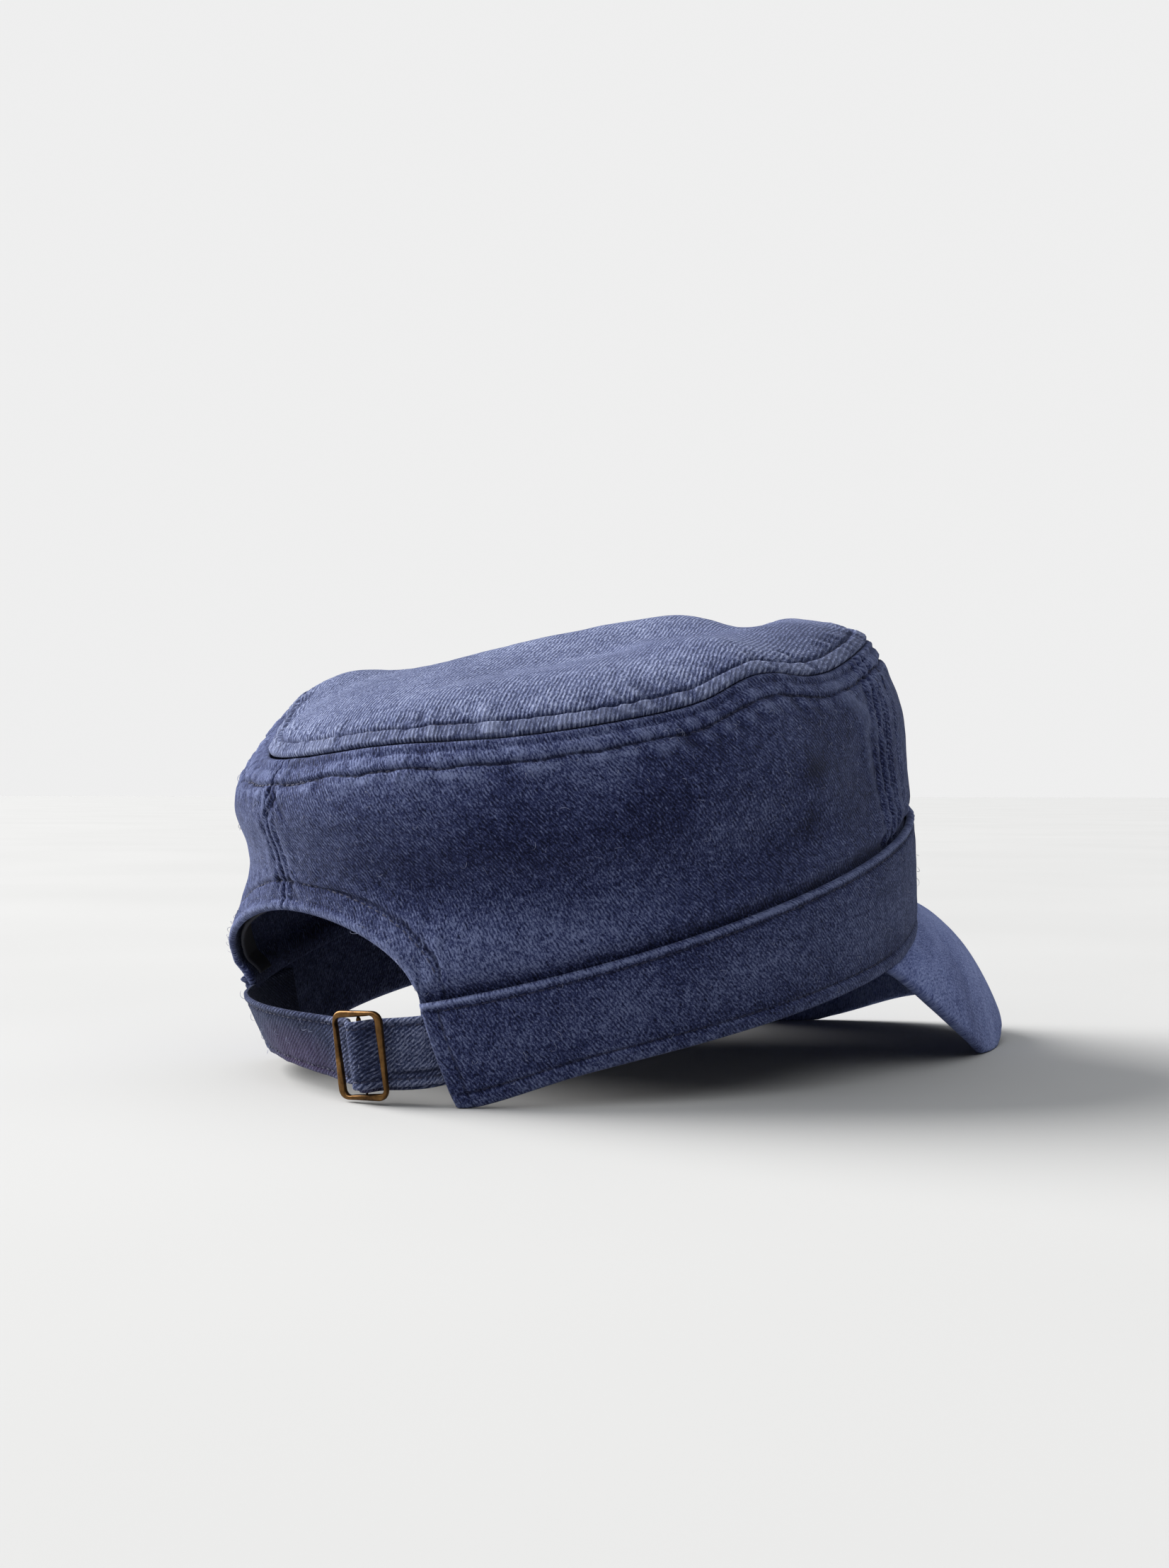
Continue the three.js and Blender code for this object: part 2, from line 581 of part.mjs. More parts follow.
const BAR_SIDES = 10;
function buckleGeometry() {
  const outline = roundedRectangle(
    new THREE.Shape(),
    BUCKLE_WIDTH - 2 * BUCKLE_BEVEL,
    BUCKLE_HEIGHT - 2 * BUCKLE_BEVEL,
    BUCKLE_CORNER - BUCKLE_BEVEL,
  );
  outline.holes.push(
    roundedRectangle(
      new THREE.Path(),
      BUCKLE_WIDTH - 2 * (BUCKLE_WIRE - BUCKLE_BEVEL),
      BUCKLE_HEIGHT - 2 * (BUCKLE_WIRE - BUCKLE_BEVEL),
      BUCKLE_INNER_CORNER,
    ),
  );
  const frame = new THREE.ExtrudeGeometry(outline, {
    depth: BUCKLE_DEPTH - 2 * BUCKLE_BEVEL,
    bevelThickness: BUCKLE_BEVEL,
    bevelSize: BUCKLE_BEVEL,
    bevelSegments: 1,
    curveSegments: 4,
  }).translate(0, 0, BUCKLE_BEVEL - BUCKLE_DEPTH / 2);
  const bar = new THREE.CylinderGeometry(
    CENTRE_BAR_RADIUS,
    CENTRE_BAR_RADIUS,
    BUCKLE_HEIGHT - BUCKLE_WIRE,
    BAR_SIDES,
  ).translate(0, 0, CENTRE_BAR_LEVEL);
  return toGeometry(toSolid(frame).add(toSolid(bar)));
}

const buckle = addPiece("buckle", buckleGeometry(), brass);
const buckleMiddle = BUCKLE_HEIGHT / 2 - BUCKLE_WIRE - BUCKLE_PLAY;
buckle.position.copy(strapPoint(0, 0, buckleMiddle));
buckle.up.set(0, 0, 1);
buckle.lookAt(strapPoint(0, 10, buckleMiddle));

// Put down on the ground
cap.rotation.x = rad(REST_TILT);
cap.position.set(0, REST_SHIFT, REST_LIFT);

const resting = new THREE.Group();
resting.add(cap);

export default resting;
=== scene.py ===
import math

import bmesh
import bpy
import numpy as np
from mathutils import Matrix, Vector


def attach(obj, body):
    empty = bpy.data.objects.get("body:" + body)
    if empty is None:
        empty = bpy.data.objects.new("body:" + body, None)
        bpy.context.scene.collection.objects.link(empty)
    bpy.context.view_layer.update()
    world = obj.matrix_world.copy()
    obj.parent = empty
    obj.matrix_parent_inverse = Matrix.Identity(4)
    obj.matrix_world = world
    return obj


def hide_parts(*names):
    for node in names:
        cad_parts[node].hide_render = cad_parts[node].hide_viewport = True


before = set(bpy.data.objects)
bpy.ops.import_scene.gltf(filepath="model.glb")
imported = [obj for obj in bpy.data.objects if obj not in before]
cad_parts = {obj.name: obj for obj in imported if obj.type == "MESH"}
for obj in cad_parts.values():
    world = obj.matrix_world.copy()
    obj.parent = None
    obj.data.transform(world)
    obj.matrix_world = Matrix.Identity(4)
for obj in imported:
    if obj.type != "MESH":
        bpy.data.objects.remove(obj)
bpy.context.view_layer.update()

MM = 0.001


# Camera: level with the cap and a little behind its right side, as in the photograph
EYE = (0.46733, -0.35617, 0.0771)
EYE_TURN = (90.14, -0.08, 54.7)
LENS = 46.38


def camera():
    data = bpy.data.cameras.new("camera")
    data.lens = LENS
    data.sensor_width = 36
    data.clip_start = 0.01
    data.clip_end = 20
    eye = bpy.data.objects.new("camera", data)
    bpy.context.scene.collection.objects.link(eye)
    eye.location = EYE
    eye.rotation_euler = [math.radians(angle) for angle in EYE_TURN]
    bpy.context.scene.camera = eye


camera()

# Sizes of the cap, in millimetres and degrees. "Round" is the angle round the head: 0 front,
# 90 the wearer's right, 180 back. Heights are in the cap's own frame, before it is put down.
CLOTH = 1.6
TOP_CLOTH = 1.1
BAND_THICKNESS = 2.0
PEAK_THICKNESS = 3.4
FACING_THICKNESS = 1.0
STRAP_THICKNESS = 1.2
TAB_THICKNESS = 1.0
SEAM_GAP = 0.35
CLOTH_MAP_SCALE = 0.01  # cloth coordinates for one millimetre
SAME_POINT = 2e-6  # vertices this close in metres are one

REST_TILT = 11.2
REST_LIFT = 19.0
REST_SHIFT = -19.8

SIDE_SEAM = 52
ARCH_HALF_ANGLE = 33
ARCH_TOP = 46
ARCH_ROUNDNESS = 1.85
BAND_END_LOW_RIGHT = 140.4
BAND_END_LOW_LEFT = 134
BAND_END_HIGH = 146.5
BAND_END_SAG_RIGHT = 4.2
BAND_END_SAG_LEFT = 4.8
BAND_END_SAG_REACH = 14
FACING_WIDTH = 9
FACING_CLEARANCE = 1.5
CROWN_RADIUS = 92
STRAP_RADIUS = 104
STRAP_HELD_FROM = 40
STRAP_HELD_FADE = 9

STRAP_WIDTH = 17
STRAP_RIGHT = 33  # the strap's ends, in mm along it from the buckle
STRAP_LEFT = -132
STRAP_LEVEL = -BAND_THICKNESS - 2 * SEAM_GAP
HUMP_HALF_WIDTH = 4  # of the strap's rise over the buckle's centre bar
TAB_LENGTH = 70
TAB_DROP = 1.4
TAB_TRIM = 0.4
BUCKLE_ANGLE = 157.5
BUCKLE_WIDTH = 15.5
BUCKLE_HEIGHT = 22.6
BUCKLE_WIRE = 1.9
BUCKLE_CORNER = 3
BUCKLE_DEPTH = 1.6
BUCKLE_PLAY = 0.6
WIRE_SOFTNESS = 0.62  # of the wire's section: 1 is an ellipse, near 0 a rectangle
CENTRE_BAR_RADIUS = 0.65
CENTRE_BAR_LEVEL = -0.8
UNDER_SIDES = -BUCKLE_DEPTH / 2 - 2 * SEAM_GAP
OVER_CENTRE = CENTRE_BAR_LEVEL + CENTRE_BAR_RADIUS + TAB_THICKNESS + STRAP_THICKNESS + 2.6 * SEAM_GAP

PEAK_ROOT_ANGLE = 60
PEAK_CROWN = 8
PEAK_TUCK = 3
FRONT_RISE = 7
FRONT_RISE_REACH = 68
BAND_TOP_MIDDLE = 29  # height of the band's upper edge at the sides
BAND_TOP_SLOPE = 7.5
BAND_TOP_FOLLOWS_RISE = 0.35
TEMPLE_FOLD_AT = (62, 71)  # round and height of the slanting fold by the right side seam

CROWN_HEIGHT = 85
CROWN_FRONT_LIFT = 2.6
CROWN_END_LIFT = 1.7
TOP_DOME = 13.3
TOP_FLATNESS = 6
WALL_INSET = BAND_THICKNESS + 1.5 * SEAM_GAP  # the wall lies this far in behind the band
WALL_INSET_FADE = 5
WALL_TOP_TUCK = 0.45
BAND_TUCK = 4

# Where the seams and their stitching lie, in mm from the seam or edge that they follow
STITCH = 2.4  # one stitch with the gap after it
TOP_STITCH = 4.0  # on the top panel, from the top seam
WALL_STITCH = 6.2  # on the wall, below the top seam
FELL_NEAR = 1.4  # on the front panel, from the side seam
FELL_FAR = 6.6
FELL_RADIUS = 90
BACK_STITCH = 3.7  # each side of the centre back seam
ARCH_STITCH = 7.0
BAND_TOP_STITCH = 2.4
BAND_FOOT_STITCH = 4.0
BAND_END_STITCH = 4.2
STRAP_STITCH = 2.0
GROOVE_WIDTH = 0.46


def table(*names):
    """Read rows of numbers as named columns."""
    return lambda *rows: {name: np.array(column, float) for name, column in zip(names, zip(*rows))}


CROWN_SECTIONS = table("height", "front", "back", "side")(
    (0, 98.6, 105.5, 79.9),
    (15, 101.5, 103, 81.8),
    (29.5, 103.5, 98.6, 82.6),
    (45, 103, 93, 82.4),
    (60, 102, 90.5, 82.6),
    (71, 100, 91, 82.6),
    (79, 97.6, 88.5, 81),
    (85, 95.8, 83.3, 78.1),
)
# Where the seam rises or dips: round, length, rise
SEAM_WAVES = ((17, 14, -1.6), (66, 12, -1.5), (84, 9, 3.9), (153, 18, 1.9), (238, 24, 12))

# Folds of the crown wall: round, height, length, width, depth, slope
WALL_FOLDS = (
    (120, 45, 42, 8, -4.6, 4),
    (128, 64, 40, 9, 1.8, 0),
    (88, 62, 22, 9, 2.2, 10),
    (62, 55, 14, 15, -2.8, 0),
    (32, 64, 26, 18, 2.6, 0),
    (207, 34, 24, 16, 5.5, 0),
    (200, 74, 44, 14, 2.4, 0),
    (-110, 46, 36, 9, -2.6, -5),
    (-70, 58, 16, 14, -1.8, 8),
    (222, 90, 28, 11, -8, 0),
)

# Painted shade and light on the wall, darker in the fold hollows and on the right side turned from the
# light, lighter on the swells: round, height, length, width, tone, slope
WALL_PAINTED_SHADE_AND_LIGHT = (
    (118, 56, 32, 10, -0.16, 0),
    (96, 68, 14, 10, -0.1, 0),
    (68, 58, 9, 26, -0.17, 0),
    (79, 60, 3, 4, -0.4, 0),
    (80, 47, 3, 4, -0.35, 0),
    (86, 40, 9, 8, -0.12, 0),
    (140, 32, 26, 9, 0.12, 0),
    (150, 77, 26, 5, 0.06, 0),
    (96, 52, 12, 8, 0.06, 0),
    (208, 70, 16, 26, -0.05, 0),
    (172, 80, 9, 8, -0.16, 0),
    (172, 50, 7, 6, -0.1, 0),
)

# The same painted shade and light on the top panel, darker where it turns from the light, lighter along
# the crease of its dip: side, forward, length, width, tone, heading
TOP_PAINTED_SHADE_AND_LIGHT = (
    (50, 46, 24, 14, -0.22, 0),
    (20, 60, 20, 14, -0.1, 60),
    (16, 16, 44, 9, 0.1, 20),
    (42, 0, 50, 9, -0.08, 12),
)

# Ridges and tones beside seams and edges: place, width, height or tone, share of each ripple
TOP_SEAM_RIDGES = (
    (1.5, 0.8, 0.3, 0.21, 0),
    (2.8, 0.6, -0.22, 0, -0.11),
    (8.6, 2.4, 0.175, 0.5, 0),
    (7.6, 1.8, 0, 0, 0.24),
)
TOP_RIDGES = ((TOP_STITCH + 3, 3, 0, 0.5, 0), (TOP_STITCH + 1.8, 1.6, 0, 0, 0.24))
FELL_RIDGES = ((FELL_FAR + 3.2, 1.6, 0.35, 0.21),)
BAND_TOP_RIDGES = ((1.0, 0.75, 0.45, 0.09), (5, 2, 0, 0.12))
BAND_FOOT_RIDGES = ((6.5, 2, 0, 0.12),)
# Painted light along the band's upward-facing top edge, and painted shade in the groove of its top
# stitching
BAND_TOP_LIGHT_AND_SHADE = ((0.8, 0.7, 0.32), (BAND_TOP_STITCH, 0.7, -0.14))
BAND_FOOT_TONES = ((1, 1, 0.12), (14, 5, 0.08), (BAND_FOOT_STITCH + 1.5, 1.5, -0.06))
BACK_RIDGES = ((0, 0.5, -0.35, 0), (6.2, 1.8, 0.2, 0.4))
ARCH_RIDGES = ((1.2, 1.0, 0.5, 0), (2.9, 0.6, -0.25, 0), (ARCH_STITCH + 3, 2, 0, 0.24))
STRAP_FOLD = ((4.6, 0.6, 0.3), (3.5, 0.5, -0.75))
# Worn pale rims, and painted shade in the groove of the stitching
STRAP_RIM_WEAR_AND_SHADE = ((0.6, 0.8, 0.2), (STRAP_STITCH + 0.4, 0.8, -0.14))
TEMPLE_RIDGES = (  # place, how much it strays, width, height, share of the ripple
    (3.4, 1, 0.9, 0.72, 0.4),
    (5.4, 1.4, 0.9, -0.6, 0),
    (7.6, 2, 1.1, 0.56, 0.35),
    (10, 2.5, 1.2, -0.36, -0.225),
)

# Folds of the top panel: side, forward, length, width, rise, heading
TOP_FOLDS = (
    (8, 20, 60, 16, 4.5, 20),
    (-38, 40, 26, 22, 2.4, 60),
    (-12, 76, 34, 12, -2, 80),
    (30, -20, 50, 12, -2, 10),
    (30, 66, 22, 16, -4, 60),
    (-2, 70, 34, 9, -13, -55),
    (-56, -9, 34, 14, -4.5, -55),
)
PEAK_EDGE = table("share", "side", "forward", "height")(
    (0, 0, 140.5, -34.5),
    (0.2, 21, 134.5, -37),
    (0.4, 38, 118.5, -40.8),
    (0.57, 49, 102, -41.2),
    (0.75, 60, 84, -30),
    (0.9, 67, 65, -14.5),
    (1, 69.5, 49, 0.6),
)
STRAP_HANG = table("round", "top", "lean")(
    (130, 19.5, -5),
    (150, 19.8, -8),
    (160, 20.2, -3),
    (170, 20.5, 8),
    (185, 20.8, 15),
    (200, 20.8, 15),
    (215, 20, 5),
    (228, 19, -4),
)
TAB_PATH = (  # along the strap, level
    *((33, -4.9), (20, -4.9), (11, -4.3), (7.5, -4.0), (4.8, -3.5), (2.8, -1.9), (1.3, 0.15), (0, 0.6)),
    *((-1.25, 0.15), (-1.6, -0.9), (-1.1, -2.1), (0.6, -3.2), (3, -4.6), (7, -5.5), (12, -5.9)),
)


# Maths of the shape, on arrays of numbers
def read_table(rows, key, column, at):
    """Smooth curve through a table's rows."""
    keys = rows[key]
    values = rows[column]
    last = len(keys) - 1
    at = np.clip(at, keys[0], keys[-1])
    i = np.clip(np.searchsorted(keys, at, side="right") - 1, 0, last - 1)
    before = np.maximum(np.arange(last + 1) - 1, 0)
    after = np.minimum(np.arange(last + 1) + 1, last)
    slope = (values[after] - values[before]) / (keys[after] - keys[before])
    span = keys[i + 1] - keys[i]
    t = (at - keys[i]) / span
    return (
        values[i] * (1 + 2 * t) * (1 - t) ** 2
        + values[i + 1] * t * t * (3 - 2 * t)
        + slope[i] * span * t * (1 - t) ** 2
        - slope[i + 1] * span * t * t * (1 - t)
    )


def turn(a, b):
    return (a - b + 180) % 360 - 180


def sin(degrees):
    return np.sin(np.radians(degrees))


def cos(degrees):
    return np.cos(np.radians(degrees))


def xyz(*columns):
    return np.stack(columns, -1)


def bell(along, across, length, width):
    return np.exp(-((along / length) ** 2) - (across / width) ** 2)


def ease(t):
    t = np.clip(t, 0, 1)
    return t * t * (3 - 2 * t)


def mix(a, b, share):
    return a + (b - a) * share


def ripple(x, y, wavelength, seed, waves=9):
    """Smooth noise of about -1 to 1: a few plane waves in random directions."""
    draw = np.random.default_rng(seed)
    total = 0
    for _ in range(waves):
        heading = draw.uniform(0, 2 * math.pi)
        stretch = draw.uniform(0.7, 1.6)
        phase = draw.uniform(0, 2 * math.pi)
        way = x * math.cos(heading) + y * math.sin(heading)
        total += np.sin(2 * math.pi * way * stretch / wavelength + phase)
    return total / math.sqrt(waves * 2)


def top_seam_height(rnd):
    height = CROWN_HEIGHT + CROWN_FRONT_LIFT * cos(rnd)
    height += CROWN_END_LIFT * cos(2 * rnd)
    for at, length, rise in SEAM_WAVES:
        height += rise * bell(turn(rnd, at), 0, length, 1)
    return height


def front_rise(rnd):
    return FRONT_RISE * ease(1 - np.abs(turn(rnd, 0)) / FRONT_RISE_REACH)


def band_top_height(rnd):
    return BAND_TOP_MIDDLE + BAND_TOP_SLOPE * cos(rnd) + BAND_TOP_FOLLOWS_RISE * front_rise(rnd)


def band_foot_height(rnd):
    right = bell(turn(rnd, 0) - BAND_END_LOW_RIGHT, 0, BAND_END_SAG_REACH, 1)
    left = bell(turn(rnd, 0) + BAND_END_LOW_LEFT, 0, BAND_END_SAG_REACH, 1)
    return front_rise(rnd) - BAND_END_SAG_RIGHT * right - BAND_END_SAG_LEFT * left


ARCH_FOOT = float(band_top_height(np.array(180.0 - ARCH_HALF_ANGLE)))


def arch_height(rnd):
    away = np.abs(turn(rnd, 180)) / ARCH_HALF_ANGLE
    inside = np.clip(1 - away**ARCH_ROUNDNESS, 0, 1)
    height = ARCH_FOOT + (ARCH_TOP - ARCH_FOOT) * inside ** (1 / ARCH_ROUNDNESS)
    return np.where(away < 1, height, -1e3)


def near_arch(rnd):
    return np.abs(turn(rnd, 180)) < ARCH_HALF_ANGLE + 12


def round_the_arch(lean, away, foot=ARCH_FOOT):
    """Angle and height this far outside the arch, lean running over it from 0 to pi."""
    power = 2 / ARCH_ROUNDNESS
    half = ARCH_HALF_ANGLE + np.degrees(away / CROWN_RADIUS)
    rnd = 180 - half * np.sign(np.cos(lean)) * np.abs(np.cos(lean)) ** power
    return rnd, foot + (ARCH_TOP + away - foot) * np.abs(np.sin(lean)) ** power


def arch_distance(rnd, height):
    """Distance from the arch's outline along the cloth, positive on the cloth's side."""
    x = np.abs(np.radians(turn(rnd, 180))) * CROWN_RADIUS
    y = np.maximum(height - ARCH_FOOT, 0)
    a = math.radians(ARCH_HALF_ANGLE) * CROWN_RADIUS
    b = ARCH_TOP - ARCH_FOOT
    n = ARCH_ROUNDNESS
    f = (x / a) ** n + (y / b) ** n
    fx = n / a * (x / a) ** (n - 1)
    fy = n / b * (y / b) ** (n - 1)
    return (f ** (1 / n) - 1) * n * f ** (1 - 1 / n) / np.maximum(np.hypot(fx, fy), 1e-6)


def wall_marks(rows, rnd, height):
    """Sum of a table's folds or tones at a place on the wall."""
    total = 0
    for at, level, length, width, depth, slope in rows:
        along = turn(rnd, at)
        total += depth * bell(along, height - level - slope * along / length, length, width)
    return total


def top_marks(rows, side, forward):
    """Sum of a table's folds or tones at a place on the top panel."""
    total = 0
    for at_side, at_forward, length, width, depth, heading in rows:
        x, y = side - at_side, forward - at_forward
        along, across = y * cos(heading) + x * sin(heading), x * cos(heading) - y * sin(heading)
        total += depth * bell(along, across, length, width)
    return total


def crown_point(rnd, height, offset=0):
    lift = top_seam_height(rnd) - CROWN_HEIGHT
    level = height - lift * np.clip(height / CROWN_HEIGHT, 0, 1.2)
    columns = ("front", "back", "side")
    front, back, side = (read_table(CROWN_SECTIONS, "height", column, level) for column in columns)
    grow = offset + wall_marks(WALL_FOLDS, rnd, level)
    ahead = np.where(cos(rnd) > 0, front, back)
    return xyz((side + grow) * sin(rnd), (ahead + grow) * cos(rnd), height + 0 * rnd)


def top_point(rnd, reach):
    edge = crown_point(rnd, top_seam_height(rnd))
    middle = (CROWN_SECTIONS["front"][-1] - CROWN_SECTIONS["back"][-1]) / 2
    side = edge[..., 0] * reach
    forward = middle + (edge[..., 1] - middle) * reach
    flat = CROWN_HEIGHT + (top_seam_height(rnd) - CROWN_HEIGHT) * reach**2
    dome = TOP_DOME * (1 - reach**TOP_FLATNESS)
    folds = top_marks(TOP_FOLDS, side, forward)
    return xyz(side, forward, flat + dome + folds * (1 - reach**4))


def put_down(points):
    """From the cap's own frame to the cap at rest, in metres."""
    c, s = cos(REST_TILT), sin(REST_TILT)
    x, y, z = points[..., 0], points[..., 1], points[..., 2]
    return xyz(x, y * c - z * s + REST_SHIFT, y * s + z * c + REST_LIFT) * MM


def normals_of(point, a, b, step=0.02):
    """Outward normals of point(a, b), a running round the head and b upwards."""
    da = point(a + step, b) - point(a - step, b)
    db = point(a, b + step) - point(a, b - step)
    n = np.cross(db, da)
    return n / np.maximum(np.linalg.norm(n, axis=-1, keepdims=True), 1e-9)


# Making closed pieces of cloth
def stops(*stretches, roll=CLOTH / 2):
    """Places in mm from 0 on: fine where both ends roll over, and stretches of (end, step)."""
    turns = roll * (1 - np.cos(np.linspace(0, math.pi / 2, 5)))
    places = list(turns)
    end = stretches[-1][0]
    for stop, step in stretches:
        stop = min(stop, end - roll)
        steps = max(1, math.ceil((stop - places[-1]) / step))
        places.extend(np.linspace(places[-1], stop, steps + 1)[1:])
    return np.concatenate([places, (end - turns[:-1])[::-1]])


def grid(columns, rows):
    """A bmesh grid of that many steps, with each vertex's column and row as whole numbers."""
    mesh = bmesh.new()
    bmesh.ops.create_grid(mesh, x_segments=columns, y_segments=rows, size=0.5)
    places = np.array([v.co[:2] for v in mesh.verts]) + 0.5
    return mesh, np.rint(places[:, 0] * columns).astype(int), np.rint(places[:, 1] * rows).astype(int)


def drain(mesh):
    """Empty a bmesh into a new mesh: operators are quick only on small ones."""
    data = bpy.data.meshes.new("few")
    mesh.to_mesh(data)
    mesh.clear()
    return data


def add_piece(name, mesh, material, slot, replaced=()):
    """Put a closed bmesh into the scene as a smooth piece that rides on the cap."""
    for face in mesh.faces:
        face.smooth = True
    data = bpy.data.meshes.new(name)
    mesh.to_mesh(data)
    mesh.free()
    piece = bpy.data.objects.new(name + "_visual", data)
    bpy.context.scene.collection.objects.link(piece)
    data.materials.append(material)
    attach(piece, "root")
    if replaced:
        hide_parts(*replaced)


def cloth_piece(name, across, up, surface, edge, thickness, material, slot, adjust=None, wash=None):
    """A closed piece of cloth over a grid of places across and up.

    surface(a, b) gives points, outward normals, relief in mm and cloth coordinates. edge(a, b) is
    the distance to the nearest edge, where it rolls over. adjust(points) is a last change to the
    points. The tone function gives how much paler or darker the cloth is: partly fading, partly
    painted shade and light of folds and seams. The inner side is plain.
    """
    rows = len(up) - 1
    order = np.concatenate([np.arange(rows + 1), np.arange(rows)[::-1]])
    mesh, column, row = grid(len(across) - 1, len(order) - 1)
    outside = row <= rows
    a = across[column]
    b = up[order[row]]
    points, normals, relief, cloth_map = surface(a, b)
    roll = thickness / 2
    profile = np.sqrt(1 - (1 - np.clip(edge(a, b) / roll, 0, 1)) ** 2)
    outward = np.where(outside, roll * (profile - 1) + relief * profile, -roll * (1 + profile))
    points = points + normals * outward[:, None]
    points = put_down(adjust(points) if adjust else points)
    relief = np.where(outside, relief, 0)
    shades_and_fades = wash(a, b) if wash else 0 * a
    relief_layer = mesh.verts.layers.float.new("relief")
    shade_and_fade_layer = mesh.verts.layers.float.new("wash")
    uv = mesh.loops.layers.uv.new("cloth")
    mesh.verts.index_update()
    for vert, point, raised, lighter in zip(mesh.verts, points.tolist(), relief.tolist(), shades_and_fades.tolist()):
        vert.co = point
        vert[relief_layer] = raised
        vert[shade_and_fade_layer] = lighter
    places = (cloth_map * CLOTH_MAP_SCALE).tolist()
    for face in mesh.faces:
        for corner in face.loops:
            corner[uv].uv = places[corner.vert.index]
    bmesh.ops.remove_doubles(mesh, verts=mesh.verts, dist=SAME_POINT)
    bmesh.ops.dissolve_degenerate(mesh, edges=mesh.edges, dist=SAME_POINT / 2)
    bmesh.ops.recalc_face_normals(mesh, faces=mesh.faces)
    add_piece(name, mesh, material, slot, (name,))


def bump(distance, at, width):
    return np.exp(-(((distance - at) / width) ** 2))


def strip(distance, start, end, soft=0.5):
    """1 between start and end, falling off softly at both."""
    return ease((distance - start) / soft + 0.5) * ease((end - distance) / soft + 0.5)


def mm_round(degrees, radius=CROWN_RADIUS):
    return np.radians(degrees) * radius


def ridges(rows, distance, *ripples):
    """Ridges and hollows beside a seam. The rows are place, width, height and share of each ripple."""
    total = 0
    for at, width, height, *shares in rows:
        total += bump(distance, at, width) * (height + sum(share * r for share, r in zip(shares, ripples)))
    return total


def wander(along, seed, amount=0.35):
    """How far a line of stitching strays from its place, in mm."""
    return amount * ripple(along, 0, 19, seed) + 0.3 * amount * ripple(along, 0, 7, seed + 1)


def groove(distance, at, along, depth=0.5):
    """A line of stitching that pulls the cloth in, deepest in the middle of each stitch."""
    pull = 0.8 - 0.2 * np.cos(2 * math.pi * along / STITCH)
    return -1.5 * depth * pull * bump(distance, at, GROOVE_WIDTH)


# Crown wall
def wall_base(rnd, height):
    buried = ease(1 - (height - band_top_height(rnd)) / WALL_INSET_FADE)
    return crown_point(rnd, height, -WALL_INSET * buried)


def top_seam_relief(s, below):
    pull = ripple(s + 0.7 * below, 0, 5.5, 11)
    fine_pull = ripple(s - 0.4 * below, 0, 3.4, 12)
    relief = ridges(TOP_SEAM_RIDGES, below, pull, fine_pull)
    relief += strip(below, 3.0, 5.6) * (0.26 + 0.26 * pull + 0.16 * fine_pull)
    return relief + groove(below, WALL_STITCH + wander(s, 81), s, 0.7)


def side_seam_relief(rnd, height, below, front):
    side = np.abs(mm_round(np.abs(turn(rnd, 0)) - SIDE_SEAM, FELL_RADIUS))
    waver = 0.6 * ripple(height, 0, 22, 14)
    across = ripple(height + 0.3 * side, 0, 7, 15)
    if front:
        relief = strip(side, -2, FELL_FAR + 0.6) * (0.3 + 0.15 * across)
        relief += groove(side, FELL_NEAR + waver * 0.3, height)
        relief += groove(side, FELL_FAR + waver, height, 0.7)
        return relief + ridges(FELL_RIDGES, side, across)
    relief = groove(side, FELL_NEAR, height, 0.4)
    for at, stray, *ridge in TEMPLE_RIDGES:
        relief += ridges([(at, *ridge)], side - stray * waver, across)
    relief += 0.55 * bump(side, 13.5 + 3 * waver, 2) * bump(below, 20, 20)
    x, y = mm_round(turn(rnd, TEMPLE_FOLD_AT[0])), height - TEMPLE_FOLD_AT[1]
    return relief + 1.2 * bump(0.65 * x - 0.76 * y, 0, 2.4) * bump(0.76 * x + 0.65 * y, 0, 13)


def back_relief(rnd, height, below):
    back = np.abs(mm_round(turn(rnd, 180)))
    tug = ripple(height * 0.8 + 0.8 * back, 0, 6, 16)
    relief = strip(back, -2, BACK_STITCH + 0.5) * (0.16 + 0.12 * tug)
    relief += groove(back, BACK_STITCH + wander(height, 85), height, 0.8)
    return relief + ridges(BACK_RIDGES, back, tug) + back_creases(rnd, below)


def arch_relief(rnd, height):
    s = mm_round(rnd)
    away = np.where(near_arch(rnd), arch_distance(rnd, height), 99)
    spoke = ripple(s * 0.9, height * 0.9, 6, 17)
    relief = strip(away, 3, ARCH_STITCH - 0.8) * (0.1 + 0.18 * spoke)
    relief += groove(away, ARCH_STITCH + wander(s + height, 87), s + height, 0.65)
    return relief + ridges(ARCH_RIDGES, away, spoke)


def wall_relief(rnd, height, front):
    s = mm_round(rnd)
    below = top_seam_height(rnd) - height
    relief = top_seam_relief(s, below) + side_seam_relief(rnd, height, below, front)
    if not front:
        relief += back_relief(rnd, height, below) + arch_relief(rnd, height)
    return relief + 0.12 * ripple(s, height * 1.3, 22, 18) + 0.06 * ripple(s * 0.8, height, 8, 19)


def back_creases(rnd, below):
    """Two sharp creases that cross where the centre back seam runs under the top seam."""
    x = mm_round(turn(rnd, 180))
    total = 0
    for slope, shift in ((0.75, 5.5), (-0.9, 3.5)):
        away = (x + shift + slope * (below - 10)) / math.hypot(1, slope)
        near = bump(below, 10.5, 5.5)
        total += near * (0.45 * bump(away, 1.5, 0.9) - 0.7 * bump(away, 0, 0.55))
    return total


def wall_ends(rnd):
    foot = np.maximum(band_top_height(rnd) - BAND_TUCK, arch_height(rnd))
    return foot, top_seam_height(rnd) - WALL_TOP_TUCK


def wall_at(rnd, height, front=False):
    normals = normals_of(wall_base, rnd, height)
    return wall_base(rnd, height), normals, wall_relief(rnd, height, front), xyz(mm_round(rnd), height)


def wall_surface(front):
    return lambda rnd, share: wall_at(rnd, mix(*wall_ends(rnd), share), front)


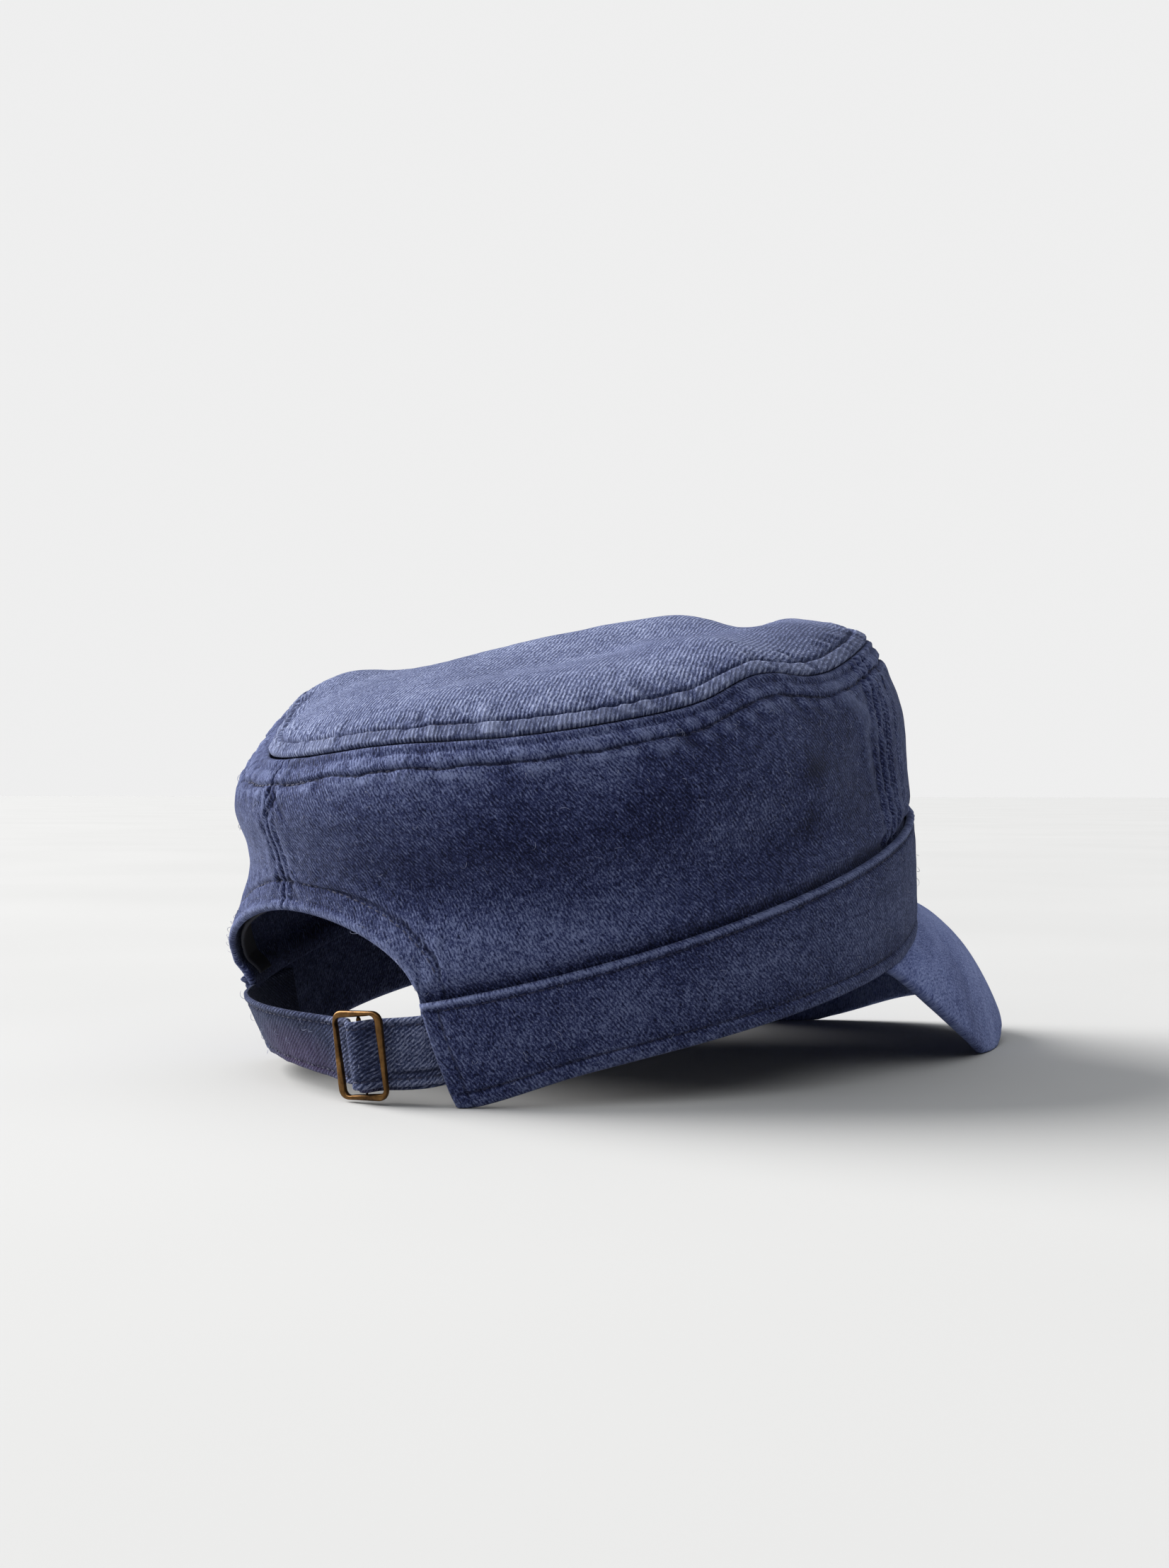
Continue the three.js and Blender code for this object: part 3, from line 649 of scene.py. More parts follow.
def wall_shade_and_fade(rnd, share):
    height = mix(*wall_ends(rnd), share)
    below = wall_ends(rnd)[1] - height
    s = mm_round(rnd)
    # Painted shade and light of the folds from the table, and a painted shadow just above the band's top
    # edge
    tone = wall_marks(WALL_PAINTED_SHADE_AND_LIGHT, rnd, height) - 0.28 * bump(height - band_top_height(rnd), 0.4, 1.6)
    tone += 0.16 * bump(below, WALL_STITCH + 1.6, 0.9) * (1 + ripple(s, 0, 9, 91))
    tone += 0.12 * strip(below, 2.6, WALL_STITCH - 0.6)
    # Painted light and shade on the puckers along the stitching below the top seam
    pull = ripple(s + 0.7 * below, 0, 5.5, 11)
    tone += (0.16 * bump(below, WALL_STITCH + 2.4, 2.2) + 0.12 * strip(below, 1, WALL_STITCH)) * pull
    return tone + np.where(near_arch(rnd), 0.2 * bump(arch_distance(rnd, height), 0.8, 1.1), 0)


def wall_edge(start, end):
    def edge(rnd, share):
        foot, top = wall_ends(rnd)
        height = mix(foot, top, share)
        sides = mm_round(np.minimum(rnd - start, end - rnd))
        low = np.where(arch_height(rnd) > 0, arch_distance(rnd, height), height - foot)
        return np.maximum(np.minimum.reduce([sides, low, height - foot, top - height]), 0)

    return edge


def crown_wall(name, columns, material):
    """columns are the angles round the head at which the panel's grid has its columns."""
    surface, edge = wall_surface(name == "crown_front"), wall_edge(columns[0], columns[-1])
    rows = stops((47, 0.9), (60, 0.42)) / 60
    cloth_piece(name, columns, rows, surface, edge, CLOTH, material, "crown_cloth", wash=wall_shade_and_fade)


def wall_columns():
    """Angles for the front panel and for the right side panel, which bunch up at the arch's foot."""
    width = mm_round(2 * SIDE_SEAM)
    front = stops((12, 0.45), (width - 12, 0.8), (width, 0.45))
    front = np.degrees(front / CROWN_RADIUS) - SIDE_SEAM
    flat = mm_round(180 - ARCH_HALF_ANGLE - SIDE_SEAM)
    side = stops((10, 0.45), (flat, 0.85))[:-4]
    side = SIDE_SEAM + np.degrees(side / CROWN_RADIUS)
    lean = np.linspace(0, math.pi / 2, 84)[1:]
    arch = 180 - ARCH_HALF_ANGLE * np.cos(lean) ** (2 / ARCH_ROUNDNESS)
    roll = np.degrees(stops((10, 1))[1:5] / CROWN_RADIUS)
    side = np.concatenate([side[side < 180 - ARCH_HALF_ANGLE - 0.1], arch[arch < 180 - roll[-1] - 0.1]])
    return front, np.concatenate([side, 180 - roll[::-1], [180]])


# Crown top
def top_relief(rnd, reach):
    s = mm_round(rnd)
    inside = (1 - reach) * CROWN_RADIUS
    pull = ripple(s - 0.5 * inside, 0, 5.5, 21)
    fine_pull = ripple(s + 0.4 * inside, 0, 3.2, 22)
    relief = strip(inside, 0.2, TOP_STITCH - 0.5) * (0.42 + 0.2 * pull + 0.14 * fine_pull)
    relief += groove(inside, TOP_STITCH + wander(s, 83), s, 0.7)
    relief += ridges(TOP_RIDGES, inside, pull, fine_pull)
    x, y = reach * sin(rnd) * CROWN_RADIUS, reach * cos(rnd) * CROWN_RADIUS
    return relief + 0.14 * ripple(x, y, 24, 23) + 0.06 * ripple(x, y, 8, 24)


def disc(a, b):
    """Angle and reach on a disc for places a and b of a square from -1 to 1."""
    x = a * np.sqrt(1 - b * b / 2)
    y = b * np.sqrt(1 - a * a / 2)
    return np.degrees(np.arctan2(x, y)), np.hypot(x, y)


def top_base(a, b):
    return top_point(*disc(a, b))


def top_surface(a, b):
    rnd, reach = disc(a, b)
    points = top_base(a, b)
    normals = -normals_of(top_base, a * 0.9995, b * 0.9995, 0.0005)
    return points, normals, top_relief(rnd, reach), points[:, :2]


def top_shade_and_fade(a, b):
    rnd, reach = disc(a, b)
    x, y, _ = top_base(a, b).T
    inside = (1 - reach) * CROWN_RADIUS
    pull = ripple(mm_round(rnd) - 0.5 * inside, 0, 5.5, 21)
    tone = -0.16 * strip(inside, 0.4, TOP_STITCH) - 0.1 * bump(inside, TOP_STITCH + 1, 1.4)
    # Painted light and shade on the puckers along the top panel's stitching
    tone += (0.14 * bump(inside, TOP_STITCH + 3, 2.6) + 0.12 * strip(inside, 0.4, TOP_STITCH)) * pull
    # Painted shade and light of the top panel's folds from the table
    return tone + top_marks(TOP_PAINTED_SHADE_AND_LIGHT, x, y)


def top_edge(a, b):
    return np.minimum(1 - np.abs(a), 1 - np.abs(b)) * CROWN_RADIUS


def crown_top(material):
    width = 2 * CROWN_RADIUS
    places = stops((13, 0.5), (width - 13, 1.25), (width, 0.5))
    places = places / places[-1] * 2 - 1
    cloth_piece(
        "crown_top", places, places, top_surface, top_edge, TOP_CLOTH, material, "top_cloth", wash=top_shade_and_fade
    )


# Band
def press_flat(points):
    """Nothing of the cap reaches below the ground it stands on."""
    ground = -(points[:, 1] * sin(REST_TILT) + REST_LIFT) / cos(REST_TILT)
    return xyz(points[:, 0], points[:, 1], np.maximum(points[:, 2], ground))


def band_place(a, share):
    low = np.where(a < 0, BAND_END_LOW_LEFT, BAND_END_LOW_RIGHT)
    rnd = a * mix(low, BAND_END_HIGH, share)
    return rnd, mix(band_foot_height(rnd), band_top_height(rnd), share)


def band_base(a, share):
    return crown_point(*band_place(a, share))


def band_rims(a, share):
    """Distances from the band's foot, from its upper edge and from its nearer end."""
    rnd, height = band_place(a, share)
    end = (1 - np.abs(a)) * mm_round(BAND_END_LOW_RIGHT)
    return height - band_foot_height(rnd), band_top_height(rnd) - height, end


def band_surface(a, share):
    rnd, height = band_place(a, share)
    over, under, end = band_rims(a, share)
    s = mm_round(rnd)
    pull = ripple(s + 0.5 * under, 0, 6, 31)
    relief = ridges(BAND_TOP_RIDGES, under, pull) + groove(under, BAND_TOP_STITCH, s, 0.45)
    relief += groove(over, BAND_FOOT_STITCH, s) + 0.22 * strip(over, 0.5, 3.3)
    relief += ridges(BAND_FOOT_RIDGES, over, ripple(s, 0, 6, 32))
    relief += groove(end, BAND_END_STITCH, height, 0.45) + 0.25 * bump(end, 1.2, 1.2)
    relief += 0.12 * ripple(s, height * 0.5, 22, 33) + 0.06 * ripple(s, height, 8, 34)
    return band_base(a, share), normals_of(band_base, a, share, 0.002), relief, xyz(s, height)


def band_tones_light_and_shade(a, share):
    # The foot's tones, painted light on the top edge and painted shade at the top stitching
    over, under, _ = band_rims(a, share)
    return ridges(BAND_FOOT_TONES, over) + ridges(BAND_TOP_LIGHT_AND_SHADE, under)


def band_edge(a, share):
    return np.minimum.reduce(band_rims(a, share))


def band(material):
    roll = BAND_THICKNESS / 2
    width = 2 * mm_round(BAND_END_LOW_RIGHT)
    across = stops((8, 0.5), (width - 8, 0.85), (width, 0.5), roll=roll)
    up = stops((6, 0.5), (25, 0.9), (30, 0.45), roll=roll)
    across, up = across / width * 2 - 1, up / up[-1]
    cloth_piece(
        "band",
        *(across, up, band_surface, band_edge, BAND_THICKNESS, material, "band_cloth"),
        adjust=press_flat,
        wash=band_tones_light_and_shade,
    )


# Tape inside the arched opening
def facing_base(turned, share):
    rnd, height = round_the_arch(np.radians(turned), share * FACING_WIDTH, ARCH_FOOT + SEAM_GAP)
    buried = ease(1 - (height - band_top_height(rnd)) / 6)
    return crown_point(rnd, height, -WALL_INSET * buried - CLOTH - FACING_CLEARANCE)


def facing_surface(turned, share):
    points = facing_base(turned, share)
    normals = normals_of(facing_base, np.clip(turned, 0.5, 179.5), np.clip(share, 0.02, 0.98), 0.01)
    across = share * FACING_WIDTH
    return points, normals, 0.1 * ripple(turned, across, 9, 41), xyz(turned, across)


def facing(material):
    roll = FACING_THICKNESS / 2
    turned = stops((180, 0.8), roll=roll)
    share = stops((FACING_WIDTH, 0.8), roll=roll) / FACING_WIDTH

    def edge(a, b):
        return np.minimum(np.minimum(a, 180 - a) * 0.6, np.minimum(b, 1 - b) * FACING_WIDTH)

    cloth_piece(
        "opening_facing", turned, share, facing_surface, edge, FACING_THICKNESS, material, "facing_tape"
    )


# Peak
def peak_ends(a):
    rnd = a * PEAK_ROOT_ANGLE
    root = crown_point(rnd, band_foot_height(rnd) + PEAK_TUCK, -BAND_THICKNESS - SEAM_GAP)
    side, forward, height = (
        read_table(PEAK_EDGE, "share", name, np.abs(a)) for name in ("side", "forward", "height")
    )
    return xyz(np.sign(a) * side, forward, height), root


def peak_base(a, up):
    edge, root = peak_ends(a)
    bulge = 4 * PEAK_CROWN * up * (1 - up) * (1 - np.abs(a) ** 3) * math.sqrt(0.5)
    return edge + (root - edge) * up[..., None] + xyz(0 * bulge, bulge, bulge)


def peak_surface(a, up):
    points = peak_base(a, up)
    x, y, z = points.T
    normals = normals_of(peak_base, np.clip(a, -0.995, 0.995), np.clip(up, 0.01, 0.99), 0.002)
    relief = 0.22 * ripple(x, y, 26, 51) + 0.07 * ripple(x, y, 9, 52)
    return points, normals, relief, xyz(x, (y - z) * math.sqrt(0.5))


def peak_edge(a, up):
    edge, root = peak_ends(a)
    length = np.linalg.norm(root - edge, axis=-1)
    return np.minimum(np.minimum(up, 1 - up) * length, (1 - np.abs(a)) * mm_round(PEAK_ROOT_ANGLE))


def peak(material):
    roll = PEAK_THICKNESS / 2
    lean = np.linspace(-math.pi / 2, math.pi / 2, 301)
    across = 0.6 * np.sin(lean) + 0.4 * lean / (math.pi / 2)
    up = stops((52, 1.0), roll=roll)
    up = up / up[-1]
    cloth = (PEAK_THICKNESS, material, "peak_cloth")
    cloth_piece("peak", across, up, peak_surface, peak_edge, *cloth, press_flat)


# Strap and its tab
def strap_point(along, level, down):
    rnd = BUCKLE_ANGLE - np.degrees(along / STRAP_RADIUS)
    top = read_table(STRAP_HANG, "round", "top", rnd)
    lean = np.radians(read_table(STRAP_HANG, "round", "lean", rnd))
    outward = xyz(sin(rnd), cos(rnd), 0 * rnd)
    upward = np.array([0, 0, 1])
    across = outward * np.sin(lean)[..., None] + upward * np.cos(lean)[..., None]
    face = outward * np.cos(lean)[..., None] - upward * np.sin(lean)[..., None]
    hanging = crown_point(rnd, top) - across * down[..., None] + face * level[..., None]
    under = crown_point(rnd, top - down, level)
    free = ease((STRAP_HELD_FROM - np.abs(turn(rnd, 180))) / STRAP_HELD_FADE)
    return under + (hanging - under) * free[..., None]


def strap_level(along):
    near = bell(along, 0, BUCKLE_WIDTH, 1)
    over = np.exp(-((np.abs(along) / HUMP_HALF_WIDTH) ** 3))
    return mix(mix(STRAP_LEVEL, UNDER_SIDES, near), OVER_CENTRE, over)


def strap_base(left, up):
    """left runs against the strap's own direction, so that its normals point outwards."""
    return strap_point(-left, strap_level(-left), STRAP_WIDTH * (1 - up))


def rim_of(up):
    """Places up the strap in mm, and their distance from its nearer edge."""
    across = up * STRAP_WIDTH
    return across, np.minimum(across, STRAP_WIDTH - across)


def strap_surface(left, up):
    across, rim = rim_of(up)
    relief = groove(rim, STRAP_STITCH, left, 0.32) + 0.12 * bump(rim, 0.8, 0.7)
    right = ease((-left - 7) / 3)
    relief += right * ridges(STRAP_FOLD, across)
    relief += 0.12 * ripple(left, across, 16, 61) + 0.05 * ripple(left, across, 5, 62)
    return strap_base(left, up), normals_of(strap_base, left, up, 0.004), relief, xyz(left, across)


def strap_wear_and_shade(left, up):
    # Worn rims and painted shade at the stitching; the strap is also darker left of the buckle and a
    # little darker at it
    tone = ridges(STRAP_RIM_WEAR_AND_SHADE, rim_of(up)[1])
    return tone - 0.5 * ease((left - 8) / 14) - 0.1 * bump(left, 0, 6)


def strap(material):
    roll = STRAP_THICKNESS / 2
    length = STRAP_RIGHT - STRAP_LEFT
    left = stops((length - 95 - 30, 0.6), (length - 95, 0.35), (length, 0.8), roll=roll) - STRAP_RIGHT
    up = stops((STRAP_WIDTH, 0.4), roll=roll) / STRAP_WIDTH

    def edge(a, b):
        ends = np.minimum(a + STRAP_RIGHT, -STRAP_LEFT - a)
        return np.minimum(ends, np.minimum(b, 1 - b) * STRAP_WIDTH)

    surface, wash = strap_surface, strap_wear_and_shade
    cloth_piece("strap", left, up, surface, edge, STRAP_THICKNESS, material, "strap_cloth", wash=wash)


def tab_curve(t):
    """A smooth curve through the tab's path, t from 0 to 1, and its direction."""
    path = np.array(TAB_PATH, float)
    path = np.concatenate([[2 * path[0] - path[1]], path, [2 * path[-1] - path[-2]]])
    place = np.clip(t, 0, 1) * (len(TAB_PATH) - 1)
    i = np.minimum(place.astype(int), len(TAB_PATH) - 2)
    w = (place - i)[:, None]
    p0, p1, p2, p3 = (path[i + k] for k in range(4))
    pairs = ((p0, p1), (p1, p2), (p2, p3))
    d0, d1, d2 = (np.linalg.norm(b - a, axis=-1, keepdims=True) ** 0.5 for a, b in pairs)
    out = ((p1 - p0) / d0 - (p2 - p0) / (d0 + d1) + (p2 - p1) / d1) * d1
    into = ((p2 - p1) / d1 - (p3 - p1) / (d1 + d2) + (p3 - p2) / d2) * d1
    point = p1 * (1 + 2 * w) * (1 - w) ** 2 + p2 * w * w * (3 - 2 * w)
    point = point + out * w * (1 - w) ** 2 - into * w * w * (1 - w)
    way = 6 * w * (1 - w) * (p2 - p1) + out * (1 - w) * (1 - 3 * w) + into * w * (3 * w - 2)
    return point, way / np.linalg.norm(way, axis=-1, keepdims=True)


def tab_base(t, up):
    point, way = tab_curve(t)
    along = point[:, 0] + way[:, 1] * TAB_THICKNESS / 2
    level = point[:, 1] - way[:, 0] * TAB_THICKNESS / 2
    return strap_point(along, level, TAB_DROP + (STRAP_WIDTH - TAB_TRIM) * (1 - up))


def tab_surface(t, up):
    along = t * 60
    across, rim = rim_of(up)
    relief = groove(rim, STRAP_STITCH, along, 0.25) + 0.05 * ripple(along, across, 5, 63)
    normals = normals_of(tab_base, np.clip(t, 0.002, 0.998), up, 0.001)
    return tab_base(t, up), normals, relief, xyz(along, across)


def strap_tab(material):
    roll = TAB_THICKNESS / 2
    t = stops((TAB_LENGTH, 0.4), roll=roll) / TAB_LENGTH
    up = stops((STRAP_WIDTH, 0.5), roll=roll) / STRAP_WIDTH

    def edge(a, b):
        return np.minimum(np.minimum(a, 1 - a) * TAB_LENGTH, np.minimum(b, 1 - b) * STRAP_WIDTH)

    cloth_piece("strap_tab", t, up, tab_surface, edge, TAB_THICKNESS, material, "strap_cloth")


# Buckle: a flat brass frame with softly rounded wire and a thin bar across its middle
def rounded_rectangle(turned, size, radius):
    """Points round a rounded rectangle, turned from 0 to 1, evenly spaced by length."""
    points = []
    for i, corner in enumerate(((1, 1), (-1, 1), (-1, -1), (1, -1))):
        middle = np.array(corner) * (size / 2 - radius)
        for angle in i * 90 + np.linspace(0, 90, 7):
            points.append(middle + radius * np.array([cos(angle), sin(angle)]))
    points = np.array(points + points[:1])
    run = np.concatenate([[0], np.cumsum(np.linalg.norm(np.diff(points, axis=0), axis=1))])
    return xyz(*(np.interp(turned * run[-1], run, column) for column in points.T))


def buckle_frame():
    """Rotation and middle of the buckle in the cap's own frame, in mm."""
    down = np.array(BUCKLE_HEIGHT / 2 - BUCKLE_WIRE - BUCKLE_PLAY)
    middle = strap_point(np.array(0.0), np.array(0.0), down)
    out = strap_point(np.array(0.0), np.array(10.0), down) - middle
    out = out / np.linalg.norm(out)
    right = np.cross([0, 0, 1], out)
    right = right / np.linalg.norm(right)
    return xyz(right, np.cross(out, right), out), middle


def buckle_wire():
    """The buckle's frame as a closed grid and its points in the buckle's own frame."""
    mesh, column, row = grid(160, 20)
    turned = column / 160
    c, s = cos(row * 18), sin(row * 18)
    wide = np.sign(c) * np.abs(c) ** WIRE_SOFTNESS * BUCKLE_WIRE / 2
    deep = np.sign(s) * np.abs(s) ** WIRE_SOFTNESS * BUCKLE_DEPTH / 2
    size = np.array([BUCKLE_WIDTH, BUCKLE_HEIGHT]) - BUCKLE_WIRE
    core = rounded_rectangle(turned, size, BUCKLE_CORNER - BUCKLE_WIRE / 2)
    grown = rounded_rectangle(turned, size + 1, BUCKLE_CORNER - BUCKLE_WIRE / 2 + 0.5)
    outward = (grown - core) / np.linalg.norm(grown - core, axis=-1, keepdims=True)
    x, y = (core + outward * wide[:, None]).T
    hammered = 0.04 * ripple(core[:, 0] + wide, core[:, 1], 3.5, 71)
    return mesh, xyz(x, y, deep + hammered * deep * 2 / BUCKLE_DEPTH)


def buckle_bar():
    mesh, column, row = grid(24, 14)
    angle = column * 15
    reach = row / 7 - 1
    thin = CENTRE_BAR_RADIUS * np.sqrt(1 - np.abs(reach) ** 12)
    y = reach * (BUCKLE_HEIGHT - BUCKLE_WIRE) / 2
    return mesh, xyz(thin * cos(angle), y, CENTRE_BAR_LEVEL + thin * sin(angle))


def buckle(material):
    turned_to, middle = buckle_frame()
    mesh = bmesh.new()
    for part, places in (buckle_wire(), buckle_bar()):
        for vert, place in zip(part.verts, put_down(places @ turned_to.T + middle).tolist()):
            vert.co = place
        mesh.from_mesh(drain(part))
        part.free()
    bmesh.ops.remove_doubles(mesh, verts=mesh.verts, dist=SAME_POINT)
    bmesh.ops.recalc_face_normals(mesh, faces=mesh.faces)
    add_piece("buckle", mesh, material, "buckle_brass", ("buckle",))


# Finishes
class Wire:
    """A node's output, on which arithmetic adds Math nodes."""

    def __init__(self, finish, socket):
        self.finish = finish
        self.socket = socket

    def maths(self, operation, *values, clamp=False):
        settings = {"operation": operation, "use_clamp": clamp}
        return self.finish.node("Math", settings, dict(enumerate(values)))

    def __add__(self, other):
        return self.maths("ADD", self, other)

    def __sub__(self, other):
        return self.maths("SUBTRACT", self, other)

    def __rsub__(self, other):
        return self.maths("SUBTRACT", other, self)

    def __mul__(self, other):
        return self.maths("MULTIPLY", self, other)

    __radd__ = __add__

    def sine(self):
        return self.maths("SINE", self)

    def clamped(self):
        return self.maths("ADD", self, 0.0, clamp=True)


class Finish:
    """A material under construction."""

    def __init__(self, name, **constants):
        self.material = bpy.data.materials.new(name)
        self.material.use_nodes = True
        self.tree = self.material.node_tree
        self.shader = self.tree.nodes["Principled BSDF"]
        for socket, value in constants.items():
            self.shader.inputs[socket.replace("_", " ")].default_value = value

    def node(self, kind, settings=None, values=None, output=0):
        """Add a node: its settings first, then values or wires for its sockets."""
        node = self.tree.nodes.new("ShaderNode" + kind)
        for name, value in (settings or {}).items():
            if name == "stops":
                ramp = node.color_ramp
                while len(ramp.elements) < len(value):
                    ramp.elements.new(1)
                for element, (position, color) in zip(ramp.elements, value):
                    element.position = position
                    element.color = (*color, 1)
            else:
                setattr(node, name, value)
        for name, value in (values or {}).items():
            self.plug(node.inputs[name], value)
        return Wire(self, node.outputs[output])

    def plug(self, socket, value):
        if isinstance(value, Wire):
            self.tree.links.new(value.socket, socket)
        else:
            socket.default_value = value

    def blend(self, share, first, second):
        """Mix two colours."""
        fix = lambda c: c if isinstance(c, Wire) else (*c, 1)
        return self.node("Mix", {"data_type": "RGBA"}, {0: share, 6: fix(first), 7: fix(second)}, output=2)

    def noise(self, place, scale, detail=2, roughness=0.5, distortion=0):
        values = {"Vector": place, "Scale": scale, "Detail": detail}
        values.update({"Roughness": roughness, "Distortion": distortion})
        return self.node("TexNoise", None, values)

    def turned(self, place, angle=0, scale=(1, 1, 1)):
        values = {"Vector": place, "Rotation": (0, 0, math.radians(angle)), "Scale": scale}
        return self.node("Mapping", None, values)

    def ramp(self, share, *tones):
        """A colour that runs through tones, each a position and a colour."""
        return self.node("ValToRGB", {"stops": tones}, {0: share})

    def finish(self, **wires):
        for socket, value in wires.items():
            self.plug(self.shader.inputs[socket.replace("_", " ")], value)
        return self.material


def linear(*color):
    """A colour as seen on a screen, 0 to 255, as linear light."""
    return tuple(c / 255 / 12.92 if c < 11 else ((c / 255 + 0.055) / 1.055) ** 2.4 for c in color)


def twill(name, colors, pitch, angle, depth, fuzz=1.0, patches=0.5, painted_reflection=None):
    """Washed twill: slanted ribs of uneven yarn, faded fibres, worn ridges, painted shade in creases and
    grooves, and painted shade and light carried per vertex.

    colors are the dark, middle and faded tones. pitch is the rib spacing in mm, angle the ribs'
    slant, depth how much the ribs stand out and fuzz how much the loose fibres hide them.
    """
    dark, middle, lighter = (linear(*color) for color in colors)
    cloth = Finish(name, Roughness=0.92, Sheen_Weight=0.22, Sheen_Roughness=0.4, Specular_IOR_Level=0.08)
    cloth.shader.inputs["Sheen Tint"].default_value = (0.62, 0.7, 1, 1)
    place = cloth.node("UVMap", {"uv_map": "cloth"})
    mm = 1 / CLOTH_MAP_SCALE
    flat = cloth.turned(place, 0, (mm, mm, mm))
    along_ribs = cloth.turned(place, -angle, (mm, mm, mm))
    wobble = cloth.noise(along_ribs, 0.3, 3)
    across_ribs = cloth.node("SeparateXYZ", None, {0: along_ribs}, output=1)
    rib = (across_ribs * (2 * math.pi / pitch) + wobble * 8.0).sine() * 0.5 + 0.5
    yarn = cloth.noise(cloth.turned(along_ribs, 0, (0.55, 1.5, 1)), 1.1 / pitch, 2, 0.6)
    rib_height = rib * (yarn * 1.2 + 0.3)

    fibres = cloth.noise(cloth.turned(along_ribs, 20, (0.65, 1.5, 1)), 1.6, 4, 0.78, 0.5)
    clumps = cloth.noise(flat, 0.34, 3, 0.6)
    clouds = cloth.noise(flat, 0.045, 2, 0.5)
    relief = cloth.node("Attribute", {"attribute_name": "relief"}, output=2)
    # Painted shade and light of folds, seams and puckers, with some fading, stored per vertex
    wash = cloth.node("Attribute", {"attribute_name": "wash"}, output=2)
    worn = ((relief - 0.2) * 1.5).clamped()
    # Painted shade in creases and stitch grooves, where the relief sinks
    groove_shade = ((relief + 0.16) * -2.0).clamped()

    tone = fibres * (3.3 * fuzz) + clumps * (0.8 * fuzz) + clouds * patches + rib_height * (0.5 * depth)
    tone = (tone + wash + (0.5 - 2.05 * fuzz - 0.5 * patches - 0.22 * depth)).clamped()
    color = cloth.ramp(tone, (0.08, dark), (0.5, middle), (0.98, lighter))
    color = cloth.blend(worn * 0.4, color, lighter)
    color = cloth.blend(groove_shade * 0.75, color, dark)
    specks = cloth.noise(flat, 2.4, 2, 0.5)
    lint = ((specks - 0.63) * 7.0).clamped() * (0.45 * fuzz)
    color = cloth.blend(lint, color, lighter)
    # A painted reflection, where one is given
    if painted_reflection:
        color = paint_reflection(cloth, color, place, *painted_reflection)

    height = rib_height * depth + fibres * (1.6 * fuzz) + clumps * (1.2 * fuzz)
    normal = cloth.node("Bump", None, {"Strength": 0.8, "Distance": 0.00025, "Height": height})
    return cloth.finish(Base_Color=color, Normal=normal)


def paint_reflection(cloth, color, place, middle, size, tint):
    """Paint a reflection onto the cloth as a soft tinted oval, whose middle and half lengths are given in
    mm.
    """
    share = 1
    for axis in (0, 1):
        wire = cloth.node("SeparateXYZ", None, {0: place}, output=axis)
        away = (wire - middle[axis] * CLOTH_MAP_SCALE) * (1 / (size[axis] * CLOTH_MAP_SCALE))
        share = share - away * away
    return cloth.blend(share.clamped() * 0.35, color, linear(*tint))


def brass(name):
    metal = Finish(name, Metallic=1.0)
    place = metal.node("TexCoord", output=3)
    tarnish = metal.noise(place, 260, 4, 0.6)
    stains = metal.noise(place, 1500, 3, 0.6)
    age = (tarnish * 1.1 + stains * 0.5 - 0.4).clamped()
    dark, middle, bright = linear(62, 44, 27), linear(112, 82, 48), linear(168, 130, 82)
    color = metal.ramp(age, (0.1, dark), (0.5, middle), (0.9, bright))
    scratches = metal.noise(metal.turned(place, 20, (1, 5, 1)), 2600, 2, 0.6)
    height = tarnish + scratches * 0.4
    normal = metal.node("Bump", None, {"Strength": 0.25, "Distance": 0.00006, "Height": height})
    return metal.finish(Base_Color=color, Roughness=0.28 + stains * 0.2, Normal=normal)


def thread(name, color):
    yarn = Finish(name, Roughness=0.8, Sheen_Weight=0.2)
    twist = yarn.noise(yarn.node("TexCoord", output=3), 2500, 2, 0.6)
    shade = tuple(c * 0.7 for c in linear(*color))
    return yarn.finish(Base_Color=yarn.ramp(twist, (0.3, shade), (0.7, linear(*color))))


def plain_tape(name):
    tape = Finish(name, Roughness=0.9)
    place = tape.node("UVMap", {"uv_map": "cloth"})
    mm = 1 / CLOTH_MAP_SCALE
    weave = tape.noise(tape.turned(place, 30, (mm, 4 * mm, 1)), 1.1, 3)
    color = tape.ramp(weave, (0.2, linear(13, 14, 22)), (0.8, linear(34, 36, 50)))
    normal = tape.node("Bump", None, {"Strength": 0.5, "Distance": 0.0002, "Height": weave})
    return tape.finish(Base_Color=color, Normal=normal)


# Stitching
def stitch_rows(name, lines, slot, size=0.42, length=1.9):
    """Short capsules of thread in the grooves. Each line is (points, outward normals) in metres."""
    mesh = bmesh.new()
    few = bmesh.new()
    draw = np.random.default_rng(5)
    for points, normals in lines:
        run = np.concatenate([[0], np.cumsum(np.linalg.norm(np.diff(points, axis=0), axis=1))])
        count = int(run[-1] / (STITCH * MM))
        middles = (np.arange(count) + 0.5) * run[-1] / max(count, 1)
        middles = middles + draw.uniform(-0.1, 0.1, count) * MM
        ends = (middles - length / 2 * MM, middles + length / 2 * MM)
        a, b, n, p = (
            np.stack([np.interp(at, run, source[:, k]) for k in range(3)], -1)
            for at, source in ((ends[0], points), (ends[1], points), (middles, normals), (middles, points))
        )
        for i, (start, end, out, middle) in enumerate(zip(a, b, n, p)):
            if i % 40 == 0:
                mesh.from_mesh(drain(few))
            way = Vector(end - start)
            reach = way.length / 2
            way.normalize()
            up = Vector(out) - way * way.dot(Vector(out))
            up.normalize()
            turned = Matrix((way, up.cross(way), up)).transposed().to_4x4()
            turned = Matrix.Translation(Vector(middle)) @ turned
            radius = size / 2 * MM
            scale = Matrix.Diagonal((reach, radius, radius * 0.8, 1))
            bmesh.ops.create_uvsphere(few, u_segments=6, v_segments=5, radius=1, matrix=turned @ scale)
    mesh.from_mesh(drain(few))
    few.free()
    add_piece(name, mesh, seam_thread, slot)


